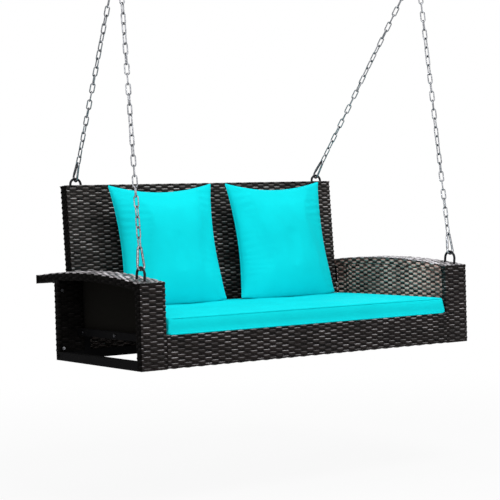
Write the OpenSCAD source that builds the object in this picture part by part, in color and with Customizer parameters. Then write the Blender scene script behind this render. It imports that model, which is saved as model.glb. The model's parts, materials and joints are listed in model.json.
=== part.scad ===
// Two-seat porch swing: a wicker-covered steel bench hung on four chains from two ceiling hooks.
// Millimetres. +Z is up, +Y runs from the front edge to the backrest and +X to the sitter's left.
// The origin is on the ceiling, midway between the two hooks. Shapes are first placed in the seat's own
// frame (X centred, Y = 0 at the front face, Z = 0 at the underside), and hung() moves them to the origin.

/* [Seat] */
// Width over the two arms
seat_w = 1270; // [1100:5:1500]
// Depth from the front face to the back of the rear posts
base_d = 542; // [500:1:620]
// Height of the seat deck's top
deck_top = 101.5; // [95:0.5:125]
// Thickness of the woven seat deck
deck_t = 3.5; // [2.5:0.5:4.5]
// Number of bars under the seat deck
seat_bars_n = 3; // [2:1:5]
// Gap between the seat frame and each arm
seat_gap = 1; // [0.5:0.25:1.5]
// Gap between the seat frame and the backrest
back_gap = 1; // [0.5:0.25:1.5]

/* [Tubes and wicker] */
// Outer size of the square frame tube
tube = 22; // [20:1:25]
// Height of the foot rails
foot_h = 27; // [22:1:32]
// Wall of the frame tubes
tube_wall = 1.2; // [1:0.1:2.5]
// Thickness of the wicker laid over the tubes
wicker_t = 3; // [2:0.5:4]

/* [Arms] */
// Width of an arm
arm_w = 92; // [85:1:110]
// Length of the arm top's tail behind the rear post
tail_len = 118; // [105:1:160]
// Height of the arm top at the front
arm_front_z = 259; // [235:1:290]
// Height of the arm top at the tip of the tail
arm_tail_z = 269.5; // [240:0.5:300]
// Radius of the arm top's arch
arch_r = 2800; // [2000:50:4000]
// Size of the wicker gusset behind the rear post
gusset = 14; // [8:1:20]

/* [Backrest] */
// Height of the top front edge of the backrest
back_h = 559; // [480:1:640]
// Distance from the back of the rear posts to the backrest's front face, at the foot
back_setback = 39; // [36:1:60]
// Lean of the backrest from the vertical, in degrees
back_lean = 4.05; // [2:0.05:6]
// Thickness of the backrest
back_t = 42; // [36:1:50]
// Height of the lower edge of the backrest
back_bottom = 20; // [10:1:40]
// Gap between the backrest and the tail of each arm
back_side_gap = 2; // [1:0.5:3]
// Width of the tubes inside the backrest
back_tube = 18; // [16:1:22]

/* [Hanging eyes] */
// Wire diameter of the eyes
eye_wire = 8; // [6:0.5:9]
// Distance from the front face to the eyes on the arms
arm_eye_y = 46; // [42:1:70]
// Distance between the legs of an arm eye
arm_eye_w = 46; // [40:1:50]
// Height of an arm eye above the wicker
arm_eye_h = 42; // [38:1:60]
// Distance between the legs of a back eye
back_eye_w = 38; // [34:1:40]
// Height of a back eye above the wicker
back_eye_h = 26; // [24:1:40]
// Thickness of the plate that an arm eye is bolted to
eye_plate_t = 5; // [4:0.5:6]

/* [Snap hooks] */
// Wire diameter of the snap hooks
hook_wire = 7; // [6:0.5:8]
// Overall length of a snap hook
hook_len = 76; // [70:1:90]
// Overall width of the wide end
hook_wide = 30; // [29:1:34]
// Overall width of the narrow end
hook_narrow = 18.6; // [18:0.2:21]
// Diameter of a gate
gate_d = 8.4; // [8:0.2:9]

/* [Chains] */
// Wire diameter of the links
link_wire = 4; // [3.5:0.25:4.5]
// Distance from one link to the next
link_pitch = 30.5; // [28:0.5:34]
// Overall width of a link
link_w = 17; // [16:0.5:19]
// Number of links in each front chain
front_links = 30; // [28:1:33]
// Number of links in each rear chain
rear_links = 26; // [25:1:28]
// Half turns that each chain is twisted by
chain_twist = 1; // [0:1:2]
// Play between links that hang in each other
link_play = 0.3; // [0.2:0.05:0.4]

/* [Ceiling fittings] */
// Distance from the middle to each ceiling hook
hang_x = 580; // [560:1:600]
// Wire diameter of the hanging rings
ring_wire = 8; // [7:0.5:9]
// Inner diameter of the hanging rings
ring_bore = 36; // [32:1:44]
// Wire diameter of the ceiling hooks
screw_wire = 9; // [8:0.5:10]
// Inner diameter of the bend of a ceiling hook
screw_bend = 23; // [21:1:30]
// Diameter of the screw that goes into the ceiling
screw_d = 8; // [6:0.5:8]
// Length of the screw above the ceiling
screw_len = 60; // [40:5:90]
// Length of the neck between the bend and the ceiling
neck_len = 16; // [12:1:40]
// Radius of the curve that leads from the neck into the bend
neck_curve = 8; // [6:0.5:10]

/* [Cushions] */
// Thickness of the seat cushion at its sewn edges
cushion_t = 49; // [40:1:60]
// Extra height of the seat cushion in its middle
cushion_crown = 9; // [4:1:14]
// Gap between the seat cushion and each arm
cushion_gap = 4; // [2:1:6]
// Width and height of a back pillow
pillow_size = 400; // [380:5:420]
// Thickness of a back pillow in its middle
pillow_t = 185; // [150:5:190]
// Distance from the middle of the seat to the middle of each pillow
pillow_x = 228; // [220:1:250]
// Lean of the pillows from the vertical, in degrees
pillow_lean = 12; // [10:0.5:14]
// Play left around cushions and pillows
soft_gap = 0.3; // [0.2:0.1:0.6]

/* [Fasteners] */
// Diameter of the small bolts
bolt_d = 6; // [5:0.5:6]
// Diameter of the bolts between seat and backrest
back_bolt_d = 8; // [6:0.5:8]
// Radial clearance of a bolt or an eye leg in its hole
bolt_clear = 0.3; // [0.2:0.05:0.4]
// Thickness of the brackets between arm and backrest
bracket_t = 3; // [2:0.5:4]

/* [Hidden] */

$fn = 48;
arc_fn = 720;
over = 1;

wicker_colour = "#2e241f";
steel_colour = "#1d1d20";
zinc_colour = "#b8bcc0";
cloth_colour = "#18dfe6";

// Arms: the two planes of an arm, and the faces of its tubes
member = tube + 2 * wicker_t;
arm_out = seat_w / 2;
arm_in = arm_out - arm_w;
outer_tube_x = arm_out - wicker_t - tube;
inner_tube_x = arm_in + wicker_t;
frame_y0 = wicker_t;
frame_y1 = wicker_t + tube;
post_y0 = base_d - wicker_t - tube;
post_y1 = base_d - wicker_t;

// Arch of the arm top: a circle through its two ends
arm_len = base_d + tail_len;
arch_chord = [arm_len, arm_tail_z - arm_front_z];
arch_drop = sqrt(arch_r * arch_r - arch_chord * arch_chord / 4) / norm(arch_chord);
arch_y = arch_chord.x / 2 + arch_chord.y * arch_drop;
arch_z = (arm_front_z + arm_tail_z) / 2 - arch_chord.x * arch_drop;
above_arch = arch_z + arch_r + member;
function arch_top(y) = arch_z + sqrt(arch_r * arch_r - (y - arch_y) * (y - arch_y));
function arch_slope(y) = asin((arch_y - y) / arch_r);

// Seat frame
back_y = base_d + back_setback;
rail_z1 = deck_top - deck_t;
rail_z0 = rail_z1 - tube;
rail_mid_z = (rail_z0 + rail_z1) / 2;
seat_half = arm_in - seat_gap;
function back_face(z) = back_y + z * tan(back_lean);
seat_y1 = back_face(rail_z0) - back_gap;
bar_pitch = 2 * seat_half / (seat_bars_n + 1);
bar_xs = [for (i = [1:seat_bars_n]) -seat_half + i * bar_pitch];
edge_xs = [-seat_half + tube / 2, seat_half - tube / 2];

// Backrest
back_half = arm_in - back_side_gap;
back_v0 = back_bottom / cos(back_lean);
back_v1 = back_h / cos(back_lean);
back_in_half = back_half - wicker_t;
back_in_v0 = back_v0 + wicker_t;
back_in_v1 = back_v1 - wicker_t;
back_depth = back_t - 2 * wicker_t;
back_rail_v = rail_mid_z / cos(back_lean) - back_tube / 2;

// Fasteners
bolt_head_r = bolt_d * 0.9;
bolt_head_h = bolt_d * 0.65;
low_head_h = 2.4;
back_head_r = back_bolt_d * 0.9;
back_head_h = back_bolt_d * 0.6;
bolt_grip = 12;
hole_r = bolt_d / 2 + bolt_clear;
eye_nut_r = eye_wire * 0.93;
eye_nut_h = eye_wire * 0.8;
eye_washer_t = 1.6;
eye_washer_r = eye_wire;
washer_room = 0.5;
eye_seat = 0.18;
arm_eye_x = outer_tube_x - washer_room - eye_washer_r;
back_eye_x = back_in_half - back_tube - washer_room - eye_washer_r - back_eye_w / 2;
arm_bolt_ys = [90, (frame_y1 + post_y0) / 2, base_d - 62];
post_bolt_x = outer_tube_x + tube / 2;
post_bolt_zs = [foot_h + 11, arch_top(post_y0) - member - 29];
plug_len = 34;
plug_play = 0.2;
back_bolt_xs = [-seat_half * 0.72, 0, seat_half * 0.72];
bracket_y = back_face(arm_tail_z - 60) + back_t / 2;
bracket_w = 36;
bracket_drop = 58;
bracket_reach = 50;
bracket_bolt_x = inner_tube_x + tube / 2;
bracket_bolt_y = 10;
bracket_side_zs = [-26, -46];
bracket_seat = 0.12;
wing_room = 2;
wing_y1 = bracket_y - bracket_w / 2 - bracket_drop * abs(sin(arch_slope(bracket_y))) - wing_room;
touch = 0.05;

// Hanging points, as [x, y, z] in the seat frame, on the middle of the eye's wire
eye_r = eye_wire / 2;
arm_eye_rise = arm_eye_h - eye_r;
arm_eye_tilt = arch_slope(arm_eye_y);
arm_eye_point = [arm_eye_x, arm_eye_y - arm_eye_rise * sin(arm_eye_tilt),
    arch_top(arm_eye_y) + arm_eye_rise * cos(arm_eye_tilt)];
back_eye_v = back_v1 + back_eye_h - eye_r;
back_eye_point = [back_eye_x, back_y + back_eye_v * sin(back_lean) + back_t / 2 * cos(back_lean),
    back_eye_v * cos(back_lean) - back_t / 2 * sin(back_lean)];

// Snap hook outline: radii of the two ends and the tangent lines between them
hook_r = hook_wire / 2;
wide_r = (hook_wide - hook_wire) / 2;
narrow_r = (hook_narrow - hook_wire) / 2;
hook_h = hook_len - hook_wire - wide_r - narrow_r;
hook_taper = asin((wide_r - narrow_r) / hook_h);
side_len = hook_h * cos(hook_taper);
hook_reach = wide_r + hook_h + narrow_r;
stub_end = 2.5;
pivot_s = 8;
gate_s0 = 4.4;
gate_end_gap = 0.8;
nose_s = side_len - 5.4;
tongue_t = 2.5;
tongue_r = 3;
slot_w = 3.1;
slot_s = 13;
nose_tongue = 5;
pin_r = 1.5;
pin_play = 0.05;
pin_len = 7.6;
sunk = 0.6;
sunk_r = hook_r - 0.06;

// Chain: reach from the middle of an eye's wire to the middle of the ring's wire
link_r = link_wire / 2;
link_len = link_pitch + 2 * link_wire + link_play;
eye_to_hook = eye_r + hook_r + link_play;
hook_to_link = hook_r + link_r + link_play;
ring_r = ring_bore / 2 + ring_wire / 2;
ring_to_link = link_r + ring_wire / 2 + link_play;
first_link = hook_reach - eye_to_hook - hook_to_link + (link_len - link_wire) / 2;
function chain_reach(n) = first_link + (n - 1) * link_pitch + (link_len - link_wire) / 2 - ring_to_link;
ring_side = link_r + 0.5;
front_hang_x = hang_x + ring_side;
rear_hang_x = hang_x - ring_side;

// The apex is where the reaches of the front and the rear chain meet, seen along X
function flat_reach(reach, dx) = sqrt(reach * reach - dx * dx);
reach_f = flat_reach(chain_reach(front_links), arm_eye_point.x - front_hang_x);
reach_b = flat_reach(chain_reach(rear_links), rear_hang_x - back_eye_point.x);
eye_span = [back_eye_point.y - arm_eye_point.y, back_eye_point.z - arm_eye_point.z];
eye_dist = norm(eye_span);
foot = (reach_f * reach_f - reach_b * reach_b + eye_dist * eye_dist) / (2 * eye_dist);
lift = sqrt(reach_f * reach_f - foot * foot);
apex_y = arm_eye_point.y + (foot * eye_span.x - lift * eye_span.y) / eye_dist;
apex_z = arm_eye_point.z + (foot * eye_span.y + lift * eye_span.x) / eye_dist;

// Ceiling fittings
screw_r = screw_wire / 2;
bend_r = screw_bend / 2 + screw_r;
hinge_z = apex_z + 2 * ring_r;
bend_z = hinge_z - ring_wire / 2 - screw_r - link_play + bend_r;
curve_z = sqrt(bend_r * bend_r + 2 * bend_r * neck_curve);
curve_turn = atan2(curve_z, neck_curve);
bend_tip = 5;
washer_t = 2;
washer_r = 13;
washer_play = 1.3;
collar_t = 3;
collar_r = 8;
screw_tip = 9;
ceiling_z = bend_z + bend_r + neck_len + collar_t + washer_t;

// Cushions
cushion_half = arm_in - cushion_gap;
cushion_z0 = deck_top + soft_gap;
cushion_top = cushion_z0 + cushion_t;
cushion_y0 = 1;
cushion_y1 = back_face(cushion_z0) - 2;
cushion_cells = [28, 13];
cushion_corner = 14;
cushion_bulge = 3;
cushion_pull = 3;
pillow_cells = 20;
pillow_pull = 14;
pillow_rise = 5.5;
pillow_room = 13;
pillow_z = cushion_top + cushion_crown + pillow_rise;
pillow_back = back_face(pillow_z + pillow_size * 0.55);
pillow_y = pillow_back - pillow_t / 2 / cos(pillow_lean) - pillow_size / 2 * sin(pillow_lean) - pillow_room;

// ---------- placing ----------

// Moves a shape from the seat's own frame to the frame of the part
module hung() {
    translate([0, -apex_y, -ceiling_z]) children();
}

// Makes the left-hand copy of a shape that is drawn on the right
module side(s) {
    if (s > 0) children();
    else mirror([1, 0, 0]) children();
}

// Places a shape drawn in the backrest's frame: X, thickness from the front face, height along it
module on_back() {
    translate([0, back_y, 0]) rotate([-back_lean, 0, 0]) children();
}

// Places a shape on top of the arm, at a right angle to the arch
module on_arch(x, y) {
    translate([x, y, arch_top(y)]) rotate([arch_slope(y), 0, 0]) children();
}

// Extrudes a profile drawn in (y, z) along X
module along_x(x0, x1) {
    translate([x0, 0, 0]) rotate([90, 0, 90]) linear_extrude(x1 - x0) children();
}

// Puts local Z on direction d and local X as near as it can be to direction a
module aligned(p, d, a) {
    x_raw = a - (a * d) * d;
    x = x_raw / norm(x_raw);
    y = cross(d, x);
    multmatrix([
        [x.x, y.x, d.x, p.x],
        [x.y, y.y, d.y, p.y],
        [x.z, y.z, d.z, p.z],
        [0, 0, 0, 1]
    ]) children();
}

// ---------- profiles and stock ----------

// Slice of the arm's arch: from an inset below its top, so deep, between two planes
module arch_slice(inset, depth, y0, y1) {
    intersection() {
        translate([arch_y, arch_z]) difference() {
            circle(r = arch_r - inset, $fn = arc_fn);
            circle(r = arch_r - inset - depth, $fn = arc_fn);
        }
        translate([y0, 0]) square([y1 - y0, above_arch]);
    }
}

// Upright strip that ends under the arch, at an inset below its top
module under_arch(inset, y0, y1, z0) {
    intersection() {
        translate([arch_y, arch_z]) circle(r = arch_r - inset, $fn = arc_fn);
        translate([y0, z0]) square([y1 - y0, above_arch - z0]);
    }
}

// Box given by its two corners
module block(a, b) {
    translate(a) cube(b - a);
}

// Hollow tube between two corners, open at its ends; run is the axis it runs along (0, 1 or 2)
module box_tube(a, b, run) {
    in_a = [for (i = [0:2]) i == run ? a[i] - over : a[i] + tube_wall];
    in_b = [for (i = [0:2]) i == run ? b[i] + over : b[i] - tube_wall];
    difference() {
        block(a, b);
        block(in_a, in_b);
    }
}

// Hollow upright under the arch, at x0, between y0 and y1
module arch_post(x0, y0, z0) {
    inset = wicker_t + tube;
    difference() {
        along_x(x0, x0 + tube) under_arch(inset, y0, y0 + tube, z0);
        block([x0 + tube_wall, y0 + tube_wall, z0 - over],
            [x0 + tube - tube_wall, y0 + tube - tube_wall, above_arch]);
    }
}

// Cylinder along X or Y from a point
module rod_x(p, r, len) {
    translate(p) rotate([0, 90, 0]) cylinder(r = r, h = len);
}

module rod_y(p, r, len) {
    translate(p) rotate([-90, 0, 0]) cylinder(r = r, h = len);
}

// Bolt with a hexagon head under z = 0 and its shank above
module hex_bolt(r, head_r, head_h, len) {
    cylinder(r = r, h = len);
    translate([0, 0, -head_h]) cylinder(r = head_r, h = head_h, $fn = 6);
}

// Arc of round wire about Y, from a start angle above +X, in the XZ plane
module wire_arc(r, wire_r, start, sweep) {
    rotate([90, 0, 0]) rotate([0, 0, start]) rotate_extrude(angle = sweep) translate([r, 0]) circle(r = wire_r);
}

// ---------- cushions ----------

// Triangles of a sheet of (nu + 1) by (nv + 1) points that starts at index k; flip turns it over.
// The diagonals run towards the sheet's four corners.
function sheet_faces(nu, nv, k, flip) = [
    for (j = [0:nv - 1], i = [0:nu - 1], half = [0, 1])
        let (
            a = k + j * (nu + 1) + i,
            b = a + 1,
            c = a + nu + 1,
            d = c + 1,
            to_corner = (i < nu / 2) == (j < nv / 2),
            tri = to_corner
                ? (half == 0 ? [a, c, d] : [a, d, b])
                : (half == 0 ? [a, c, b] : [b, c, d])
        )
        flip ? [tri[0], tri[2], tri[1]] : tri
];

// Indices round the edge of that sheet, anticlockwise
function edge_loop(nu, nv, k) = concat(
    [for (i = [0:nu - 1]) k + i],
    [for (j = [0:nv - 1]) k + j * (nu + 1) + nu],
    [for (i = [nu:-1:1]) k + nv * (nu + 1) + i],
    [for (j = [nv:-1:1]) k + j * (nu + 1)]
);

// Band of triangles between two loops of as many points
function band_faces(low, high) = [
    for (i = [0:len(low) - 1], half = [0, 1])
        let (n = (i + 1) % len(low))
        half == 0 ? [low[i], high[i], low[n]] : [low[n], high[i], high[n]]
];

function spread(i, n) = sin(90 * (2 * i / n - 1));
function sgn_pow(u, p) = sign(u) * pow(abs(u), p);

// Point of the seat cushion's plan: a rectangle with round corners whose sides draw in between them
function cushion_plan(u, v, grow) =
    let (
        half_y = (cushion_y1 - cushion_y0) / 2,
        near = max(0, abs(u) * cushion_half - cushion_half + cushion_corner) / cushion_corner,
        far = max(0, abs(v) * half_y - half_y + cushion_corner) / cushion_corner,
        cut = 0.3 * near * far * cushion_corner,
        dx = cut + cushion_pull * (1 - v * v) * pow(abs(u), 6) - grow * pow(abs(u), 12),
        dy = cut + cushion_pull * (1 - u * u) * pow(abs(v), 6) - grow * pow(abs(v), 12)
    )
    [u * cushion_half - sign(u) * dx, cushion_y0 + half_y + v * half_y - sign(v) * dy];

// Seat cushion: a flat underside, boxed sides that swell, and a crowned top
module cushion_solid() {
    nu = cushion_cells.x;
    nv = cushion_cells.y;
    grid = [for (j = [0:nv], i = [0:nu]) [spread(i, nu), spread(j, nv)]];
    low = [for (g = grid) concat(cushion_plan(g.x, g.y, -cushion_bulge), [cushion_z0])];
    top = [for (g = grid) concat(cushion_plan(g.x, g.y, -cushion_bulge),
        [cushion_top + cushion_crown * (1 - pow(g.x, 4)) * (1 - pow(g.y, 4))])];
    ring_at = edge_loop(nu, nv, 0);
    mid = [for (k = ring_at) concat(cushion_plan(grid[k].x, grid[k].y, 0), [(cushion_z0 + cushion_top) / 2])];
    count = len(grid);
    mid_loop = [for (i = [0:len(ring_at) - 1]) 2 * count + i];
    polyhedron(
        points = concat(low, top, mid),
        faces = concat(
            sheet_faces(nu, nv, 0, true),
            sheet_faces(nu, nv, count, false),
            band_faces(edge_loop(nu, nv, 0), mid_loop),
            band_faces(mid_loop, edge_loop(nu, nv, count))
        ),
        convexity = 4
    );
}

// Knife-edged pillow with corners that stand out and sides that draw in; it stands on Z = 0
module pillow_solid() {
    n = pillow_cells;
    grid = [for (j = [0:n], i = [0:n]) [spread(i, n), spread(j, n)]];
    half = pillow_size / 2;
    function flat(g) = [
        g.x * (half - pillow_pull * (1 - g.y * g.y)),
        half + g.y * (half - pillow_pull * (1 - g.x * g.x))
    ];
    function swell(g) = pillow_t / 2 * pow((1 - pow(abs(g.x), 2.6)) * (1 - pow(abs(g.y), 2.6)), 0.55);
    inner = [for (j = [1:n - 1], i = [1:n - 1]) j * (n + 1) + i];
    count = len(grid);
    front = [for (g = grid) [flat(g).x, -swell(g), flat(g).y]];
    rear = [for (k = inner) [front[k].x, -front[k].y, front[k].z]];
    function rear_at(k) =
        let (i = k % (n + 1), j = floor(k / (n + 1)))
        (i == 0 || j == 0 || i == n || j == n) ? k : count + (j - 1) * (n - 1) + i - 1;
    polyhedron(
        points = concat(front, rear),
        faces = concat(
            sheet_faces(n, n, 0, false),
            [for (f = sheet_faces(n, n, 0, true)) [for (k = f) rear_at(k)]]
        ),
        convexity = 4
    );
}

module seat_cushion() {
    color(cloth_colour) hung() cushion_solid();
}

module back_pillow(s) {
    color(cloth_colour) hung() translate([s * pillow_x, pillow_y, pillow_z])
        rotate([-pillow_lean, 0, 0]) pillow_solid();
}

// ---------- arms ----------

// Legs of the arm eye as cutters, drawn on the right-hand side
module arm_eye_holes() {
    for (dy = [-1, 1]) on_arch(arm_eye_x, arm_eye_y)
        translate([0, dy * arm_eye_w / 2, -member]) cylinder(r = eye_r + bolt_clear, h = member + over);
}

// Frame of the bracket, under the tail of the arm
module at_bracket() {
    translate([back_half, bracket_y, arch_top(bracket_y) - member / cos(arch_slope(bracket_y)) - bracket_seat])
        rotate([arch_slope(bracket_y), 0, 0]) children();
}

// Holes for the bracket's bolts, up into the tail and sideways into the backrest
module bracket_holes() {
    at_bracket() {
        for (y = [-bracket_bolt_y, bracket_bolt_y])
            translate([bracket_bolt_x - back_half, y, -bracket_t - over])
                cylinder(r = hole_r, h = bracket_t + bolt_grip + 2 * over);
        for (z = bracket_side_zs)
            rod_x([-bolt_grip - over, 0, z], hole_r, bolt_grip + bracket_t + 2 * over);
    }
}

module arm_bolt_holes() {
    for (y = arm_bolt_ys)
        rod_x([seat_half - bolt_grip, y, rail_mid_z], hole_r, inner_tube_x + tube + over - seat_half + bolt_grip);
}

module post_bolt_holes() {
    for (z = post_bolt_zs) rod_y([post_bolt_x, base_d - member - over, z], hole_r, member + 2 * over);
}

// Tubes of one arm: uprights, arched tubes, cross tubes, eye plate and joining plugs
module arm_frame_shape() {
    for (x = [outer_tube_x, inner_tube_x]) {
        difference() {
            along_x(x, x + tube) arch_slice(wicker_t, tube, frame_y0, arm_len - wicker_t);
            along_x(x + tube_wall, x + tube - tube_wall)
                arch_slice(wicker_t + tube_wall, tube - 2 * tube_wall, -over, arm_len + over);
            if (x == inner_tube_x) bracket_holes();
        }
        arch_post(x, frame_y0, 0);
    }
    box_tube([inner_tube_x + tube, frame_y0, 0], [outer_tube_x, frame_y1, tube], 0);
    along_x(inner_tube_x + tube, outer_tube_x)
        arch_slice(wicker_t, tube, arm_len - wicker_t - tube, arm_len - wicker_t);
    difference() {
        along_x(inner_tube_x + tube, outer_tube_x)
            arch_slice(wicker_t, eye_plate_t, arm_eye_y - 38, arm_eye_y + 38);
        arm_eye_holes();
    }
    difference() {
        arch_post(outer_tube_x, post_y0, foot_h);
        post_bolt_holes();
    }
    arch_post(inner_tube_x, post_y0, foot_h);
    plug_in = tube_wall + plug_play;
    for (z0 = [foot_h, arch_top(post_y0) - member - plug_len - 4]) difference() {
        block([outer_tube_x + plug_in, post_y0 + plug_in, z0],
            [outer_tube_x + tube - plug_in, post_y1 - plug_in, z0 + plug_len]);
        post_bolt_holes();
    }
}

// Wicker round the arm top and its tail
module arm_top_shape() {
    difference() {
        along_x(arm_in, arm_out) arch_slice(0, member, 0, arm_len);
        along_x(inner_tube_x, arm_out - wicker_t)
            arch_slice(wicker_t, tube, wicker_t, arm_len - wicker_t);
        for (y = [frame_y0, post_y0])
            along_x(inner_tube_x, arm_out - wicker_t)
                under_arch(wicker_t + tube - touch, y, y + tube, arm_front_z - 3 * member);
        arm_eye_holes();
        bracket_holes();
    }
}

// Wicker round the front column
module front_column_shape() {
    difference() {
        along_x(arm_in, arm_out) under_arch(member, 0, member, 0);
        block([inner_tube_x, frame_y0, -over], [arm_out - wicker_t, frame_y1, above_arch]);
        block([outer_tube_x, frame_y1 - over, -over], [outer_tube_x + tube, member + over, foot_h]);
        block([inner_tube_x, frame_y1 - over, rail_z0], [inner_tube_x + tube, member + over, rail_z1]);
    }
}

// Wicker round the rear post, with the small gusset under the tail, and a wing that closes the gap between
// the arm and the side of the backrest
module rear_post_shape() {
    top = arch_top(base_d) - member;
    difference() {
        union() {
            along_x(arm_in, arm_out) under_arch(member, base_d - member, base_d, foot_h);
            along_x(arm_in, arm_out) intersection() {
                under_arch(member, base_d - over, base_d + gusset, foot_h);
                polygon([[base_d - over, top - gusset - over], [base_d + gusset, top],
                    [base_d + gusset, top + gusset], [base_d - over, top + gusset]]);
            }
            along_x(arm_in, inner_tube_x) under_arch(member, base_d - over, wing_y1, rail_z0 - wicker_t);
        }
        block([inner_tube_x, post_y0, 0], [arm_out - wicker_t, post_y1, above_arch]);
        block([inner_tube_x, base_d - member - over, rail_z0], [inner_tube_x + tube, post_y0 + over, rail_z1]);
        post_bolt_holes();
    }
}

// Woven panel on the inner face of the arm, from the seat bearer up to the arch
module inner_panel_shape() {
    difference() {
        along_x(arm_in, inner_tube_x) under_arch(member, member, base_d - member, rail_z0 - wicker_t);
        arm_bolt_holes();
    }
}

module arm_frame(s) {
    color(steel_colour) hung() side(s) arm_frame_shape();
}

module arm_top(s) {
    color(wicker_colour) hung() side(s) arm_top_shape();
}

module front_column(s) {
    color(wicker_colour) hung() side(s) front_column_shape();
}

module rear_post(s) {
    color(wicker_colour) hung() side(s) rear_post_shape();
}

module inner_panel(s) {
    color(wicker_colour) hung() side(s) inner_panel_shape();
}

// Tube between the arm's uprights that carries the side of the seat
module seat_bearer(s) {
    color(steel_colour) hung() side(s) difference() {
        box_tube([inner_tube_x, frame_y1, rail_z0], [inner_tube_x + tube, post_y0, rail_z1], 1);
        arm_bolt_holes();
    }
}

// Bare tube along the foot of the arm
module bottom_rail(s) {
    color(steel_colour) hung() side(s) difference() {
        box_tube([outer_tube_x, frame_y1, 0], [outer_tube_x + tube, base_d, foot_h], 1);
        rail_bolt_holes();
    }
}

// ---------- seat ----------

module rail_bolt_holes() {
    rod_x([outer_tube_x - bolt_grip, base_d - tube / 2, foot_h / 2], hole_r, tube + bolt_grip + over);
}

// Bare tube along the foot of the rear, from arm to arm; an end plug takes the bolt
module rear_rail() {
    color(steel_colour) hung() {
        box_tube([-outer_tube_x, base_d - tube, 0], [outer_tube_x, base_d, foot_h], 0);
        for (s = [-1, 1]) side(s) difference() {
            block([outer_tube_x - bolt_grip, base_d - tube + tube_wall, tube_wall],
                [outer_tube_x, base_d - tube_wall, foot_h - tube_wall]);
            rod_x([outer_tube_x - bolt_grip - over, base_d - tube / 2, foot_h / 2], bolt_d / 2, bolt_grip + 2 * over);
        }
    }
}

module seat_rail_front() {
    color(steel_colour) hung() box_tube([-seat_half, frame_y0, rail_z0], [seat_half, frame_y1, rail_z1], 0);
}

module seat_rail_rear() {
    color(steel_colour) hung() difference() {
        box_tube([-seat_half, seat_y1 - tube, rail_z0], [seat_half, seat_y1, rail_z1], 0);
        back_bolt_holes();
    }
}

// Outer tubes at the two sides of the seat
module seat_rail_sides() {
    color(steel_colour) hung() for (s = [-1, 1]) side(s) difference() {
        box_tube([seat_half - tube, frame_y1, rail_z0], [seat_half, seat_y1 - tube, rail_z1], 1);
        arm_bolt_holes();
    }
}

// Bars under the deck, from the front rail to the rear rail
module seat_bars() {
    color(steel_colour) hung() for (x = bar_xs)
        box_tube([x - tube / 2, frame_y1, rail_z0], [x + tube / 2, seat_y1 - tube, rail_z1], 1);
}

// Struts that stand on the rear rail and carry the seat
module rear_struts() {
    color(steel_colour) hung() for (x = concat(bar_xs, edge_xs))
        box_tube([x - tube / 2, base_d - tube, foot_h], [x + tube / 2, base_d, rail_z0], 2);
}

// Tubes inside the apron: the lower rail and its uprights
module apron_frame() {
    color(steel_colour) hung() {
        box_tube([-seat_half, frame_y0, wicker_t], [seat_half, frame_y1, wicker_t + tube], 0);
        for (x = concat(bar_xs, edge_xs))
            box_tube([x - tube / 2, frame_y0, wicker_t + tube], [x + tube / 2, frame_y1, rail_z0], 2);
    }
}

// Wicker round the front of the seat, open behind the seat rail
module front_apron() {
    color(wicker_colour) hung() difference() {
        block([-seat_half, 0, 0], [seat_half, member, deck_top]);
        block([-seat_half - over, wicker_t, wicker_t], [seat_half + over, frame_y1, rail_z1]);
        block([-seat_half - over, frame_y1 - over, rail_z0], [seat_half + over, member + over, rail_z1]);
    }
}

module seat_deck() {
    color(wicker_colour) hung() block([-seat_half, member, rail_z1], [seat_half, seat_y1, deck_top]);
}

// ---------- backrest ----------

module back_eye_holes() {
    for (s = [-1, 1], dx = [-1, 1]) on_back()
        translate([s * back_eye_x + dx * back_eye_w / 2, back_t / 2, back_in_v1 - back_tube - over])
            cylinder(r = eye_r + bolt_clear, h = back_tube + wicker_t + 2 * over);
}

module back_bolt_holes() {
    on_back() for (x = back_bolt_xs)
        rod_y([x, -tube, back_rail_v + back_tube / 2], back_bolt_d / 2 + bolt_clear, back_t + tube + over);
}

// Rectangular tube of the backrest's frame, in the backrest's frame
module back_box_tube(x0, x1, v0, v1, run) {
    box_tube([x0, wicker_t, v0], [x1, wicker_t + back_depth, v1], run);
}

// Tubes inside the backrest: sides, top, foot, seat-level rail and two uprights
module back_frame() {
    in_x = back_in_half - back_tube;
    mid_v1 = back_in_v1 - back_tube;
    color(steel_colour) hung() difference() {
        on_back() {
            back_box_tube(-back_in_half, back_in_half, mid_v1, back_in_v1, 0);
            back_box_tube(-back_in_half, back_in_half, back_in_v0, back_in_v0 + back_tube, 0);
            for (s = [-1, 1]) side(s)
                back_box_tube(in_x, back_in_half, back_in_v0 + back_tube, mid_v1, 2);
            back_box_tube(-in_x, in_x, back_rail_v, back_rail_v + back_tube, 0);
            for (x = [-in_x / 3, in_x / 3])
                back_box_tube(x - back_tube / 2, x + back_tube / 2, back_rail_v + back_tube, mid_v1, 2);
        }
        back_eye_holes();
        back_bolt_holes();
        for (s = [-1, 1]) side(s) bracket_holes();
    }
}

// Wicker round the backrest's frame
module back_panel() {
    color(wicker_colour) hung() difference() {
        on_back() difference() {
            block([-back_half, 0, back_v0], [back_half, back_t, back_v1]);
            block([-back_in_half, wicker_t, back_in_v0], [back_in_half, back_t - wicker_t, back_in_v1]);
        }
        back_eye_holes();
        back_bolt_holes();
        for (s = [-1, 1]) side(s) bracket_holes();
    }
}

// Angle under the tail of the arm that holds the side of the backrest
module back_bracket(s) {
    color(steel_colour) hung() side(s) difference() {
        at_bracket() {
            block([touch, -bracket_w / 2, -bracket_t], [bracket_reach, bracket_w / 2, 0]);
            block([touch, -bracket_w / 2, -bracket_drop], [touch + bracket_t, bracket_w / 2, 0]);
        }
        bracket_holes();
    }
}

// ---------- fasteners ----------

module arm_bolts() {
    len = inner_tube_x + tube - seat_half + bolt_grip;
    color(zinc_colour) hung() for (s = [-1, 1], y = arm_bolt_ys) side(s)
        translate([inner_tube_x + tube, y, rail_mid_z]) rotate([0, -90, 0])
            hex_bolt(bolt_d / 2, bolt_head_r, bolt_head_h, len);
}

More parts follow.
